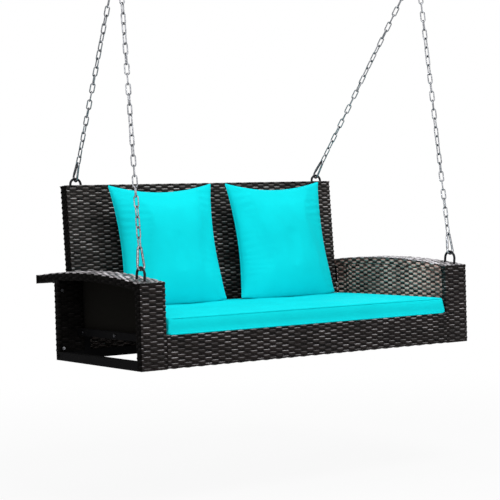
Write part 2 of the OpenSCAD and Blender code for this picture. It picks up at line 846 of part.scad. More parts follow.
module post_bolts() {
    color(zinc_colour) hung() for (s = [-1, 1], z = post_bolt_zs) side(s)
        translate([post_bolt_x, base_d - member, z]) rotate([-90, 0, 0])
            hex_bolt(bolt_d / 2, bolt_head_r, bolt_head_h, member + 4);
}

// Domed nuts behind the rear posts
module post_nuts() {
    nut_h = 5;
    color(zinc_colour) hung() for (s = [-1, 1], z = post_bolt_zs) side(s)
        translate([post_bolt_x, base_d, z]) rotate([-90, 0, 0]) difference() {
            union() {
                cylinder(r = bolt_head_r, h = nut_h, $fn = 6);
                intersection() {
                    translate([0, 0, nut_h - 1]) sphere(r = bolt_head_r * 0.9);
                    cylinder(r = bolt_head_r, h = 2 * nut_h);
                }
            }
            translate([0, 0, -over]) cylinder(r = bolt_d / 2, h = 4 + over);
        }
}

// Low-headed bolts through the bottom rails into the ends of the rear rail
module rail_bolts() {
    color(zinc_colour) hung() for (s = [-1, 1]) side(s)
        translate([outer_tube_x + tube, base_d - tube / 2, foot_h / 2]) rotate([0, -90, 0]) {
            cylinder(r = bolt_d / 2, h = tube + bolt_grip);
            translate([0, 0, -low_head_h]) cylinder(r = bolt_head_r, h = low_head_h);
        }
}

module back_bolts() {
    color(zinc_colour) hung() on_back() for (x = back_bolt_xs)
        translate([x, back_t, back_rail_v + back_tube / 2]) rotate([90, 0, 0])
            hex_bolt(back_bolt_d / 2, back_head_r, back_head_h, back_t + back_gap + bolt_grip);
}

module bracket_bolts() {
    color(zinc_colour) hung() for (s = [-1, 1]) side(s) at_bracket() {
        for (y = [-bracket_bolt_y, bracket_bolt_y])
            translate([bracket_bolt_x - back_half, y, -bracket_t])
                hex_bolt(bolt_d / 2, bolt_head_r, bolt_head_h, bracket_t + bolt_grip);
        for (z = bracket_side_zs)
            translate([touch + bracket_t, 0, z]) rotate([0, -90, 0])
                hex_bolt(bolt_d / 2, bolt_head_r, bolt_head_h, bracket_t + bolt_grip);
    }
}

// ---------- hanging eyes ----------

// U of round wire on Z = 0: legs along X, so high above and so deep below
module eye_shape(w, h, depth) {
    rise = h - eye_r - w / 2;
    translate([0, 0, rise]) wire_arc(w / 2, eye_r, 0, 180);
    for (dx = [-1, 1]) translate([dx * w / 2, 0, -depth]) cylinder(r = eye_r, h = depth + rise);
}

module arm_eye_leg(below) {
    on_arch(arm_eye_x, arm_eye_y) for (dy = [-1, 1])
        translate([0, dy * arm_eye_w / 2, -wicker_t - eye_plate_t - eye_seat - below]) children();
}

module back_eye_leg(below) {
    on_back() for (dx = [-1, 1])
        translate([back_eye_x + dx * back_eye_w / 2, back_t / 2, back_in_v1 - back_tube - below]) children();
}

module eye_front(s) {
    color(steel_colour) hung() side(s) on_arch(arm_eye_x, arm_eye_y) rotate([0, 0, 90])
        eye_shape(arm_eye_w, arm_eye_h, wicker_t + eye_plate_t + eye_washer_t + eye_nut_h + 2);
}

module eye_rear(s) {
    color(steel_colour) hung() side(s) on_back() translate([back_eye_x, back_t / 2, back_v1])
        eye_shape(back_eye_w, back_eye_h, wicker_t + back_tube + eye_washer_t + eye_nut_h + 2);
}

module eye_washers() {
    color(zinc_colour) hung() for (s = [-1, 1]) side(s) {
        arm_eye_leg(eye_washer_t) washer_shape(eye_washer_r, eye_r + bolt_clear, eye_washer_t);
        back_eye_leg(eye_washer_t) washer_shape(eye_washer_r, eye_r + bolt_clear, eye_washer_t);
    }
}

module eye_nuts() {
    below = eye_washer_t + eye_nut_h;
    color(zinc_colour) hung() for (s = [-1, 1]) side(s) {
        arm_eye_leg(below) nut_shape();
        back_eye_leg(below) nut_shape();
    }
}

module washer_shape(r, bore_r, t) {
    difference() {
        cylinder(r = r, h = t);
        translate([0, 0, -over]) cylinder(r = bore_r, h = t + 2 * over);
    }
}

module nut_shape() {
    difference() {
        cylinder(r = eye_nut_r, h = eye_nut_h, $fn = 6);
        translate([0, 0, -over]) cylinder(r = eye_r, h = eye_nut_h + 2 * over);
    }
}

// ---------- snap hooks ----------

// Which eye a hanger starts from, where its chain ends, and its direction
function hang_from(front, s) = front ? [s * arm_eye_point.x, arm_eye_point.y, arm_eye_point.z]
    : [s * back_eye_point.x, back_eye_point.y, back_eye_point.z];
function hang_to(front, s) = [s * (front ? front_hang_x : rear_hang_x), apex_y, apex_z];
function hang_dir(front, s) =
    let (d = hang_to(front, s) - hang_from(front, s))
    d / norm(d);
function hook_side(front) = front ? [-1, 0, 0] : [0, 1, 0];

// Frame of a snap hook: the middle of its wide end, local Z up the chain, the gate on local +X
module at_hook(front, s) {
    d = hang_dir(front, s);
    aligned(hang_from(front, s) + (wide_r - eye_to_hook) * d, d, hook_side(front)) children();
}

// Frame on the gate's line: local Z runs down it from the top tangent point
module on_gate_line() {
    translate([narrow_r * cos(hook_taper), 0, hook_h + narrow_r * sin(hook_taper)])
        rotate([0, 180 - hook_taper, 0]) children();
}

// Bent body: narrow end, spine, wide end, nose, and the two tongues that the gate closes over.
// The straight runs are a touch thinner than the bends that their ends sink into.
module hook_body_shape() {
    difference() {
        union() {
            translate([0, 0, hook_h]) wire_arc(narrow_r, hook_r, hook_taper, 180 - 2 * hook_taper);
            wire_arc(wide_r, hook_r, 180 - hook_taper, 180 + 2 * hook_taper);
            translate([-wide_r * cos(hook_taper), 0, wide_r * sin(hook_taper)]) rotate([0, hook_taper, 0])
                translate([0, 0, -sunk]) cylinder(r = sunk_r, h = side_len + 2 * sunk);
            on_gate_line() {
                translate([0, 0, -sunk]) cylinder(r = sunk_r, h = stub_end + sunk);
                translate([0, 0, nose_s]) cylinder(r = sunk_r, h = side_len - nose_s + sunk);
                block([-tongue_r, -tongue_t / 2, stub_end / 2], [tongue_r, tongue_t / 2, pivot_s]);
                translate([0, tongue_t / 2, pivot_s]) rotate([90, 0, 0]) cylinder(r = tongue_r, h = tongue_t);
                block([-tongue_r + 0.5, -tongue_t / 2, nose_s - nose_tongue],
                    [tongue_r - 0.5, tongue_t / 2, nose_s + 1]);
            }
        }
        on_gate_line() translate([0, tongue_t, pivot_s]) rotate([90, 0, 0]) cylinder(r = pin_r, h = 2 * tongue_t);
    }
}

// Gate: a round bar with a slot at each end and the bore for its pin
module gate_shape() {
    gate_s1 = nose_s - gate_end_gap;
    on_gate_line() difference() {
        translate([0, 0, gate_s0]) cylinder(d = gate_d, h = gate_s1 - gate_s0);
        block([-gate_d, -slot_w / 2, gate_s0 - over], [gate_d, slot_w / 2, slot_s]);
        block([-gate_d, -slot_w / 2, gate_s1 - nose_tongue - 1.5], [gate_d, slot_w / 2, gate_s1 + over]);
        translate([0, gate_d, pivot_s]) rotate([90, 0, 0]) cylinder(r = pin_r + pin_play, h = 2 * gate_d);
    }
}

module snap_hook(front, s) {
    color(zinc_colour) hung() at_hook(front, s) hook_body_shape();
}

module hook_gate(front, s) {
    color(zinc_colour) hung() at_hook(front, s) gate_shape();
}

module gate_pins() {
    color(zinc_colour) hung() for (front = [true, false], s = [-1, 1]) at_hook(front, s) on_gate_line()
        translate([0, pin_len / 2, pivot_s]) rotate([90, 0, 0]) cylinder(r = pin_r, h = pin_len);
}

// ---------- chains ----------

// One link, its width along Y, centred
module link_shape() {
    bow_r = (link_w - link_wire) / 2;
    leg = link_len - link_w;
    for (end = [-1, 1]) {
        translate([0, 0, end * leg / 2]) rotate([0, 0, 90]) wire_arc(bow_r, link_r, end > 0 ? 0 : 180, 180);
        translate([0, end * bow_r, -leg / 2]) cylinder(r = link_r, h = leg);
    }
}

// Links turn a quarter each, and a little more, so that the last one meets the ring square
function link_turn(n, quarter) = 90 + ((n - 1 + quarter) % 2 + 2 * chain_twist) * 90 / (n - 1);

module chain(front, s) {
    n = front ? front_links : rear_links;
    turn = link_turn(n, front ? 0 : 1);
    d = hang_dir(front, s);
    color(zinc_colour) hung() for (k = [0:n - 1])
        aligned(hang_from(front, s) + (first_link + k * link_pitch) * d, d, hook_side(front))
            rotate([0, 0, k * turn]) link_shape();
}

// ---------- ceiling fittings ----------

// Closed ring that both chains of one side hang in
module hanging_ring(s) {
    color(zinc_colour) hung() translate([s * hang_x, apex_y, apex_z + ring_r]) rotate([90, 0, 0])
        rotate_extrude() translate([ring_r, 0]) circle(r = ring_wire / 2);
}

// Screw hook: bend and curve in the YZ plane, neck, collar and the screw above the ceiling
module ceiling_hook(s) {
    reach = sunk * 180 / PI / neck_curve;
    neck_top = bend_r + neck_len;
    screw_top = neck_top + collar_t + washer_t + screw_len;
    color(zinc_colour) hung() translate([s * hang_x, apex_y, bend_z]) {
        rotate([0, 0, 90]) {
            wire_arc(bend_r, screw_r, 180 - curve_turn, 180 + curve_turn - bend_tip);
            translate([-neck_curve, 0, curve_z])
                wire_arc(neck_curve, screw_r - 0.06, -curve_turn - reach, curve_turn + 2 * reach);
        }
        rotate_extrude() polygon([
            [0, curve_z], [screw_r, curve_z],
            [screw_r, neck_top], [collar_r, neck_top],
            [collar_r, neck_top + collar_t], [screw_d / 2, neck_top + collar_t],
            [screw_d / 2, screw_top - screw_tip], [0.5, screw_top], [0, screw_top]
        ]);
    }
}

module ceiling_washers() {
    color(zinc_colour) hung() for (s = [-1, 1])
        translate([s * hang_x, apex_y, ceiling_z - washer_t])
            washer_shape(washer_r, screw_d / 2 + washer_play, washer_t);
}

// ---------- nodes ----------

ceiling_hook(-1);  // ceiling_hook_left
ceiling_hook(1);  // ceiling_hook_right
ceiling_washers();
hanging_ring(-1);  // hanging_ring_left
hanging_ring(1);  // hanging_ring_right
chain(true, -1);  // chain_front_left
chain(true, 1);  // chain_front_right
chain(false, -1);  // chain_rear_left
chain(false, 1);  // chain_rear_right
snap_hook(true, -1);  // snap_hook_front_left
snap_hook(true, 1);  // snap_hook_front_right
snap_hook(false, -1);  // snap_hook_rear_left
snap_hook(false, 1);  // snap_hook_rear_right
hook_gate(true, -1);  // hook_gate_front_left
hook_gate(true, 1);  // hook_gate_front_right
hook_gate(false, -1);  // hook_gate_rear_left
hook_gate(false, 1);  // hook_gate_rear_right
gate_pins();
eye_front(-1);  // eye_front_left
eye_front(1);  // eye_front_right
eye_rear(-1);  // eye_rear_left
eye_rear(1);  // eye_rear_right
eye_washers();
eye_nuts();
arm_frame(-1);  // arm_frame_left
arm_frame(1);  // arm_frame_right
arm_top(-1);  // arm_top_left
arm_top(1);  // arm_top_right
front_column(-1);  // front_column_left
front_column(1);  // front_column_right
rear_post(-1);  // rear_post_left
rear_post(1);  // rear_post_right
inner_panel(-1);  // inner_panel_left
inner_panel(1);  // inner_panel_right
seat_bearer(-1);  // seat_bearer_left
seat_bearer(1);  // seat_bearer_right
bottom_rail(-1);  // bottom_rail_left
bottom_rail(1);  // bottom_rail_right
rear_rail();
rear_struts();
seat_rail_front();
seat_rail_rear();
seat_rail_sides();
seat_bars();
apron_frame();
front_apron();
seat_deck();
back_frame();
back_panel();
back_bracket(-1);  // back_bracket_left
back_bracket(1);  // back_bracket_right
arm_bolts();
post_bolts();
post_nuts();
rail_bolts();
back_bolts();
bracket_bolts();
seat_cushion();
back_pillow(-1);  // back_pillow_left
back_pillow(1);  // back_pillow_right
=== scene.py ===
"""Looks of a porch swing seat, built around its packed construction model.

The seat is a wicker bench for two that hangs on four chains from two ceiling hooks. The woven
skins, the cushions and the trim are made here, and the tubes, chains, hooks and fasteners keep
their own meshes and get their finishes. Lengths are in metres.
"""

from __future__ import annotations

import json
import logging
import math
from contextlib import contextmanager
from dataclasses import dataclass
from enum import Enum
from typing import Callable, Iterable, Iterator, Sequence

import bpy
import numpy as np
from mathutils import Matrix, Vector

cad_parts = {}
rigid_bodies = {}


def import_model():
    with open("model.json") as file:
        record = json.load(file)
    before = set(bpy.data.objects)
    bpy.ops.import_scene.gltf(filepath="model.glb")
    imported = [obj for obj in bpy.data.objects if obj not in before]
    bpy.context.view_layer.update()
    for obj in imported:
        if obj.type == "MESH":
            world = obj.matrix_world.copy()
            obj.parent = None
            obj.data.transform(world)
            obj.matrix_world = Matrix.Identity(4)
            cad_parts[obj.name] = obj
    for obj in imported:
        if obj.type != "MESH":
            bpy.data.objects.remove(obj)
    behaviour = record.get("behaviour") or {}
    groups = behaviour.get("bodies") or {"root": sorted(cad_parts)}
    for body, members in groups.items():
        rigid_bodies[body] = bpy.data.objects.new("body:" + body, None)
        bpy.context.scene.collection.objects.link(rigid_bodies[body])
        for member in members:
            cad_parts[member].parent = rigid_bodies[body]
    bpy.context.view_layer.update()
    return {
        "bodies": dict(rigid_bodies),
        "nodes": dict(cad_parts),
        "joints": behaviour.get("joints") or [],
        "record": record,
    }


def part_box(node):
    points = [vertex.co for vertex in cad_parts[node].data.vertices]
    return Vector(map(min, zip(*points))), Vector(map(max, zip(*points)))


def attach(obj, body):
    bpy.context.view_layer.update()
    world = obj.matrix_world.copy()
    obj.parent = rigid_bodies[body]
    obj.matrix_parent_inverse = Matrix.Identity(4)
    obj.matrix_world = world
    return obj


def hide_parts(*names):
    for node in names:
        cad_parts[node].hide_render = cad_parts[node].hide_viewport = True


log = logging.getLogger("porch_swing")

Colour = tuple[float, float, float]
Form = Callable[[np.ndarray], np.ndarray]
Test = Callable[[np.ndarray], np.ndarray]

NEAR = 1e-4


class Body(str, Enum):
    """Body of the construction model that every new piece rides on."""

    SWING = "swing"


class Slot(str, Enum):
    """Material slots of the record for wicker and cloth; no piece here is given one."""

    WICKER = "wicker"
    CLOTH = "cloth"


class Side(str, Enum):
    """The two ends of the bench, by the word in the names of nodes and pieces."""

    LEFT = "left"
    RIGHT = "right"


# ---------- mesh helpers ----------


def deselect() -> None:
    """Leaves edit mode and deselects every object."""
    if bpy.context.object and bpy.context.object.mode != "OBJECT":
        bpy.ops.object.mode_set(mode="OBJECT")
    bpy.ops.object.select_all(action="DESELECT")


def pick(*pieces: bpy.types.Object) -> None:
    """Selects the given objects alone and makes the first one active.

    Args:
        pieces: the objects to select.
    """
    deselect()
    for piece in pieces:
        piece.select_set(True)
    bpy.context.view_layer.objects.active = pieces[0]


@contextmanager
def editing(
    piece: bpy.types.Object, chosen: np.ndarray | None = None, kind: str = "VERT"
) -> Iterator[None]:
    """Opens a mesh in edit mode with some or all of it selected, and closes it afterwards.

    Args:
        piece: a mesh object.
        chosen: one true or false per vertex or face, or nothing for all.
        kind: VERT where vertices are chosen, and FACE where faces are.
    """
    pick(piece)
    bpy.ops.object.mode_set(mode="EDIT")
    if chosen is None:
        bpy.ops.mesh.select_all(action="SELECT")
    else:
        bpy.ops.mesh.select_mode(type=kind)
        bpy.ops.mesh.select_all(action="DESELECT")
        bpy.ops.object.mode_set(mode="OBJECT")
        items = piece.data.vertices if kind == "VERT" else piece.data.polygons
        items.foreach_set("select", np.asarray(chosen, bool))
        bpy.ops.object.mode_set(mode="EDIT")
    yield
    bpy.ops.object.mode_set(mode="OBJECT")


def read(items: bpy.types.bpy_prop_collection, key: str, width: int = 1) -> np.ndarray:
    """Reads one property of every vertex, face or corner of a mesh.

    Args:
        items: the vertices, faces or corners.
        key: name of the property.
        width: how many numbers it has; one alone is a whole number.

    Returns:
        The numbers, in rows where each item has more than one.
    """
    found = np.zeros(len(items) * width, int if width == 1 else float)
    items.foreach_get(key, found)
    return found if width == 1 else found.reshape(-1, width)


def points(piece: bpy.types.Object) -> np.ndarray:
    """Reads the vertices of a mesh, one row of three coordinates each."""
    return read(piece.data.vertices, "co", 3)


def set_points(piece: bpy.types.Object, places: np.ndarray) -> None:
    """Writes the vertices of a mesh.

    Args:
        piece: a mesh object.
        places: one row of three coordinates per vertex.
    """
    piece.data.vertices.foreach_set("co", np.ascontiguousarray(places, float).ravel())
    piece.data.update()


def centres(piece: bpy.types.Object) -> np.ndarray:
    """Reads the middle of every face of a mesh, one row of three coordinates each."""
    return read(piece.data.polygons, "center", 3)


def store(piece: bpy.types.Object, name: str, values: np.ndarray) -> None:
    """Stores a value per vertex, for the finishes to read.

    Args:
        piece: a mesh object.
        name: name of the attribute.
        values: one number per vertex.
    """
    piece.data.attributes.new(name, "FLOAT", "POINT").data.foreach_set("value", values)


def store_map(piece: bpy.types.Object, flat: np.ndarray) -> None:
    """Stores a mesh's flat map.

    Args:
        piece: a mesh object.
        flat: one row of two coordinates per corner of a face.
    """
    layers = piece.data.uv_layers
    (layers.active or layers.new(name="UVMap")).uv.foreach_set("vector", flat.ravel())


def move_points(piece: bpy.types.Object, chosen: np.ndarray, by: Sequence[float]) -> None:
    """Moves some vertices of a mesh by the same step.

    Args:
        piece: a mesh object.
        chosen: one true or false per vertex.
        by: the step along X, Y and Z.
    """
    with editing(piece, chosen):
        bpy.ops.transform.translate(value=tuple(by))


def delete_faces(piece: bpy.types.Object, chosen: np.ndarray) -> None:
    """Deletes some faces of a mesh, with the vertices that only they use.

    Args:
        piece: a mesh object.
        chosen: one true or false per face.
    """
    if chosen.any():
        with editing(piece, chosen, "FACE"):
            bpy.ops.mesh.delete(type="FACE")


def close_up(piece: bpy.types.Object, within: float) -> None:
    """Sews sides that meet into one closed skin, with its faces outwards.

    Args:
        piece: a mesh object.
        within: greatest distance between two vertices that become one.
    """
    with editing(piece):
        bpy.ops.mesh.remove_doubles(threshold=within)
    with editing(piece):
        bpy.ops.mesh.normals_make_consistent(inside=False)


def mirror(piece: bpy.types.Object) -> None:
    """Turns a right-hand mesh into the left-hand one, with its faces outwards.

    Args:
        piece: a mesh object.
    """
    set_points(piece, points(piece) * (-1, 1, 1))
    with editing(piece):
        bpy.ops.mesh.flip_normals()


def apply_modifiers(piece: bpy.types.Object) -> None:
    """Applies every modifier of an object, in order.

    Args:
        piece: a mesh object.
    """
    pick(piece)
    for modifier in list(piece.modifiers):
        bpy.ops.object.modifier_apply(modifier=modifier.name)


def settle(name: str, size: Sequence[float]) -> bpy.types.Object:
    """Names a new primitive and puts its place and size into its mesh.

    Args:
        name: its name.
        size: how much larger than the unit primitive it is along each axis.

    Returns:
        The piece, whose object sits at the origin.
    """
    piece = bpy.context.object
    piece.name = piece.data.name = name
    piece.scale = size
    pick(piece)
    bpy.ops.object.transform_apply(location=True, rotation=True, scale=True)
    return piece


def add_grid(
    name: str, size: Sequence[float], cells: Sequence[int], middle: Sequence[float]
) -> bpy.types.Object:
    """Adds a flat grid of faces.

    Args:
        name: name of the new object.
        size: its length along X and Y.
        cells: number of faces along X and Y.
        middle: its centre.

    Returns:
        The new object, with its place in its mesh.
    """
    deselect()
    bpy.ops.mesh.primitive_grid_add(
        x_subdivisions=cells[0], y_subdivisions=cells[1], size=1, location=middle
    )
    return settle(name, (size[0], size[1], 1))


def add_block(name: str, low: Sequence[float], high: Sequence[float]) -> bpy.types.Object:
    """Adds a box between two corners, as the start of a piece.

    Args:
        name: name of the new object.
        low: its lowest corner.
        high: its highest corner.

    Returns:
        The new object, with its place in its mesh.
    """
    deselect()
    middle = [(a + b) / 2 for a, b in zip(low, high)]
    bpy.ops.mesh.primitive_cube_add(size=1, location=middle)
    return settle(name, [b - a for a, b in zip(low, high)])


def join(name: str, pieces: Sequence[bpy.types.Object]) -> bpy.types.Object:
    """Joins meshes into one object.

    Args:
        name: name of the joined object.
        pieces: the meshes; the first one keeps its object.

    Returns:
        The joined object.
    """
    pick(*pieces)
    if len(pieces) > 1:
        bpy.ops.object.join()
    piece = bpy.context.object
    piece.name = piece.data.name = name
    return piece


def smooth(piece: bpy.types.Object) -> None:
    """Shades a mesh smoothly all over."""
    pick(piece)
    bpy.ops.object.shade_smooth()


def dress(piece: bpy.types.Object, material: bpy.types.Material) -> None:
    """Gives a whole object one material.

    Args:
        piece: a mesh object.
        material: its new material.
    """
    if not piece.data.materials:
        piece.data.materials.append(material)
    for index in range(len(piece.data.materials)):
        piece.data.materials[index] = material


def hold(data: bpy.types.ID) -> bpy.types.Object:
    """Puts a curve, a lamp or a camera into the scene.

    Args:
        data: the curve, lamp or camera.

    Returns:
        The object that holds it.
    """
    holder = bpy.data.objects.new(data.name, data)
    bpy.context.scene.collection.objects.link(holder)
    return holder


# ---------- node helpers ----------


class Tree:
    """Short way to add and join shader nodes in one tree."""

    def __init__(self, tree: bpy.types.NodeTree) -> None:
        """Keeps the tree that nodes are added to."""
        self.tree = tree

    def fill(self, node: bpy.types.Node, values: dict[int | str, object]) -> bpy.types.Node:
        """Sets or links some inputs of a node.

        Args:
            node: the node.
            values: what its inputs hold or are linked from, by their names or numbers.

        Returns:
            The same node.
        """
        for key, value in values.items():
            socket = node.inputs[key]
            if isinstance(value, bpy.types.NodeSocket):
                self.tree.links.new(value, socket)
            elif socket.type == "RGBA":
                socket.default_value = (*value[:3], 1)
            else:
                socket.default_value = value
        return node

    def add(
        self, kind: str, values: dict[int | str, object] | None = None, **settings: object
    ) -> bpy.types.Node:
        """Adds a node.

        Args:
            kind: its type, such as ShaderNodeTexNoise.
            values: what its inputs hold or are linked from, by their names or numbers.
            settings: its own properties.

        Returns:
            The new node.
        """
        node = self.tree.nodes.new(kind)
        for key, value in settings.items():
            setattr(node, key, value)
        return self.fill(node, values or {})

    def noise(self, place: object, scale: object, detail: object) -> bpy.types.NodeSocket:
        """Adds a noise texture and returns its value."""
        inputs = {"Vector": place, "Scale": scale, "Detail": detail}
        return self.add("ShaderNodeTexNoise", inputs).outputs["Fac"]

    def maths(self, operation: str, *values: object, clamp: bool = False) -> bpy.types.NodeSocket:
        """Adds a Math node and returns its result."""
        inputs = dict(enumerate(values))
        return self.add("ShaderNodeMath", inputs, operation=operation, use_clamp=clamp).outputs[0]

    def times(self, *values: object, clamp: bool = False) -> bpy.types.NodeSocket:
        """Multiplies two values."""
        return self.maths("MULTIPLY", *values, clamp=clamp)

    def mix(self, factor: object, first: object, second: object) -> bpy.types.NodeSocket:
        """Mixes two colours.

        Args:
            factor: share of the second colour.
            first: a colour or a socket.
            second: a colour or a socket.

        Returns:
            The mixed colour.
        """
        inputs = {0: factor, 6: first, 7: second}
        return self.add("ShaderNodeMix", inputs, data_type="RGBA").outputs[2]

    def spread(
        self, value: object, low: object, high: object, to_low: float = 0.0, to_high: float = 1.0
    ) -> bpy.types.NodeSocket:
        """Maps a value from one range to another, smoothly and clamped.

        Args:
            value: a number or a socket.
            low: start of the first range.
            high: end of the first range.
            to_low: start of the second range.
            to_high: end of the second range.

        Returns:
            The mapped value.
        """
        inputs = dict(enumerate((value, low, high, to_low, to_high)))
        node = self.add("ShaderNodeMapRange", inputs, interpolation_type="SMOOTHSTEP")
        return node.outputs[0]

    def attribute(self, name: str) -> bpy.types.NodeSocket:
        """Reads a value that is stored on the mesh."""
        return self.add("ShaderNodeAttribute", attribute_name=name).outputs["Fac"]

    def upward(self, normal: bpy.types.NodeSocket) -> bpy.types.NodeSocket:
        """Takes the upward part of a normal."""
        return self.add("ShaderNodeSeparateXYZ", {"Vector": normal}).outputs["Z"]

    def bump(self, height: object, strength: float, distance: float) -> bpy.types.NodeSocket:
        """Adds a Bump node and returns its normal."""
        inputs = {"Height": height, "Strength": strength, "Distance": distance}
        return self.add("ShaderNodeBump", inputs).outputs[0]

    def group(self, group: bpy.types.NodeTree, **values: object) -> bpy.types.NodeSocket:
        """Places a node group with its inputs by name, and returns its first output."""
        return self.add("ShaderNodeGroup", dict(values), node_tree=group).outputs[0]


def new_group(
    name: str, inputs: dict[str, object], outputs: Sequence[str]
) -> tuple[Tree, bpy.types.Node, bpy.types.Node]:
    """Starts a shader node group.

    Args:
        name: its name.
        inputs: starting values by name; three numbers make a vector and one makes a value.
        outputs: names of the values that it puts out.

    Returns:
        The group's tree, its input node and its output node.
    """
    group = bpy.data.node_groups.new(name, "ShaderNodeTree")
    for key, value in inputs.items():
        kind = "NodeSocketVector" if isinstance(value, tuple) else "NodeSocketFloat"
        socket = group.interface.new_socket(name=key, in_out="INPUT", socket_type=kind)
        socket.default_value = value
    for key in outputs:
        group.interface.new_socket(name=key, in_out="OUTPUT", socket_type="NodeSocketFloat")
    tree = Tree(group)
    return tree, tree.add("NodeGroupInput"), tree.add("NodeGroupOutput")


class Effects:
    """Node groups that more than one finish uses, each built once."""

    PLACE = (0.0, 0.0, 0.0)

    def __init__(self) -> None:
        """Builds every group."""
        self.grain = self._grain()
        self.wear = self._wear()
        self.dust = self._dust()
        self.weave = self._weave()

    def _grain(self) -> bpy.types.NodeTree:
        """Fine uneven grain: a value round 0.5 from a noise that may be stretched.

        Returns:
            The group.
        """
        inputs = {"Vector": self.PLACE, "Stretch": (1.0, 1.0, 1.0), "Scale": 100.0, "Detail": 3.0}
        tree, given, out = new_group("fine_grain", inputs, ["Value"])
        get = given.outputs
        place = tree.add(
            "ShaderNodeVectorMath", {0: get["Vector"], 1: get["Stretch"]}, operation="MULTIPLY"
        )
        tree.fill(out, {"Value": tree.noise(place.outputs[0], get["Scale"], get["Detail"])})
        return tree.tree

    def _wear(self) -> bpy.types.NodeTree:
        """Rubbed spots: a mask that is 1 where the finish is worn.

        Returns:
            The group.
        """
        inputs = {"Vector": self.PLACE, "Scale": 30.0, "Amount": 0.3, "Height": 1.0}
        tree, given, out = new_group("edge_wear", inputs, ["Mask"])
        get = given.outputs
        broad = tree.noise(get["Vector"], get["Scale"], 4.0)
        fine = tree.noise(get["Vector"], 400.0, 2.0)
        both = tree.maths("MULTIPLY_ADD", fine, 0.35, broad)
        level = tree.maths("SUBTRACT", 0.98, tree.times(get["Amount"], 0.4))
        mask = tree.spread(both, level, tree.maths("ADD", level, 0.08))
        tree.fill(out, {"Mask": tree.times(mask, get["Height"], clamp=True)})
        return tree.tree

    def _dust(self) -> bpy.types.NodeTree:
        """Dust that lies in patches on faces which look up: a mask.

        Returns:
            The group.
        """
        tree, given, out = new_group("dust", {"Vector": self.PLACE, "Amount": 0.3}, ["Mask"])
        up = tree.upward(tree.add("ShaderNodeNewGeometry").outputs["Normal"])
        facing = tree.spread(up, 0.2, 1.0)
        cover = tree.spread(tree.noise(given.outputs["Vector"], 14.0, 5.0), 0.35, 0.7, 0.3)
        mask = tree.times(tree.times(facing, cover), given.outputs["Amount"], clamp=True)
        tree.fill(out, {"Mask": mask})
        return tree.tree

    def _weave(self) -> bpy.types.NodeTree:
        """Plain cloth weave on a flat map: height of the yarns, and the darker gaps.

        Returns:
            The group.
        """
        inputs = {"Vector": self.PLACE, "Yarns": 1500.0}
        tree, given, out = new_group("cloth_weave", inputs, ["Height", "Gap"])
        split = tree.add("ShaderNodeSeparateXYZ", {"Vector": given.outputs["Vector"]}).outputs
        turn = tree.times(given.outputs["Yarns"], math.pi)
        waves = [tree.maths("SINE", tree.times(split[axis], turn)) for axis in ("X", "Y")]
        product = tree.times(*waves)
        tree.fill(out, {
            "Height": tree.maths("MULTIPLY_ADD", product, 0.5, 0.5),
            "Gap": tree.spread(tree.maths("ABSOLUTE", product), 0.0, 0.35, 1.0, 0.0),
        })
        return tree.tree


# ---------- finishes ----------


def new_material(name: str) -> tuple[bpy.types.Material, Tree, bpy.types.Node]:
    """Starts a material with a Principled BSDF.

    Args:
        name: its name.

    Returns:
        The material, its tree and its shader.
    """
    material = bpy.data.materials.new(name)
    material.use_nodes = True
    return material, Tree(material.node_tree), material.node_tree.nodes["Principled BSDF"]


@dataclass(frozen=True)
class Finish:
    """What every finish has: a name, and inputs for its Principled BSDF."""

    name: str

    def inputs(self, tree: Tree, effects: Effects) -> dict[int | str, object]:
        """Adds the finish's nodes.

        Args:
            tree: the material's nodes.
            effects: the shared node groups.

        Returns:
            What the shader's inputs hold or are linked from, by name.
        """
        raise NotImplementedError

    def build(self, effects: Effects) -> bpy.types.Material:
        """Makes the material.

        Args:
            effects: the shared node groups.

        Returns:
            The new material.
        """
        material, tree, shader = new_material(self.name)
        tree.fill(shader, self.inputs(tree, effects))
        return material


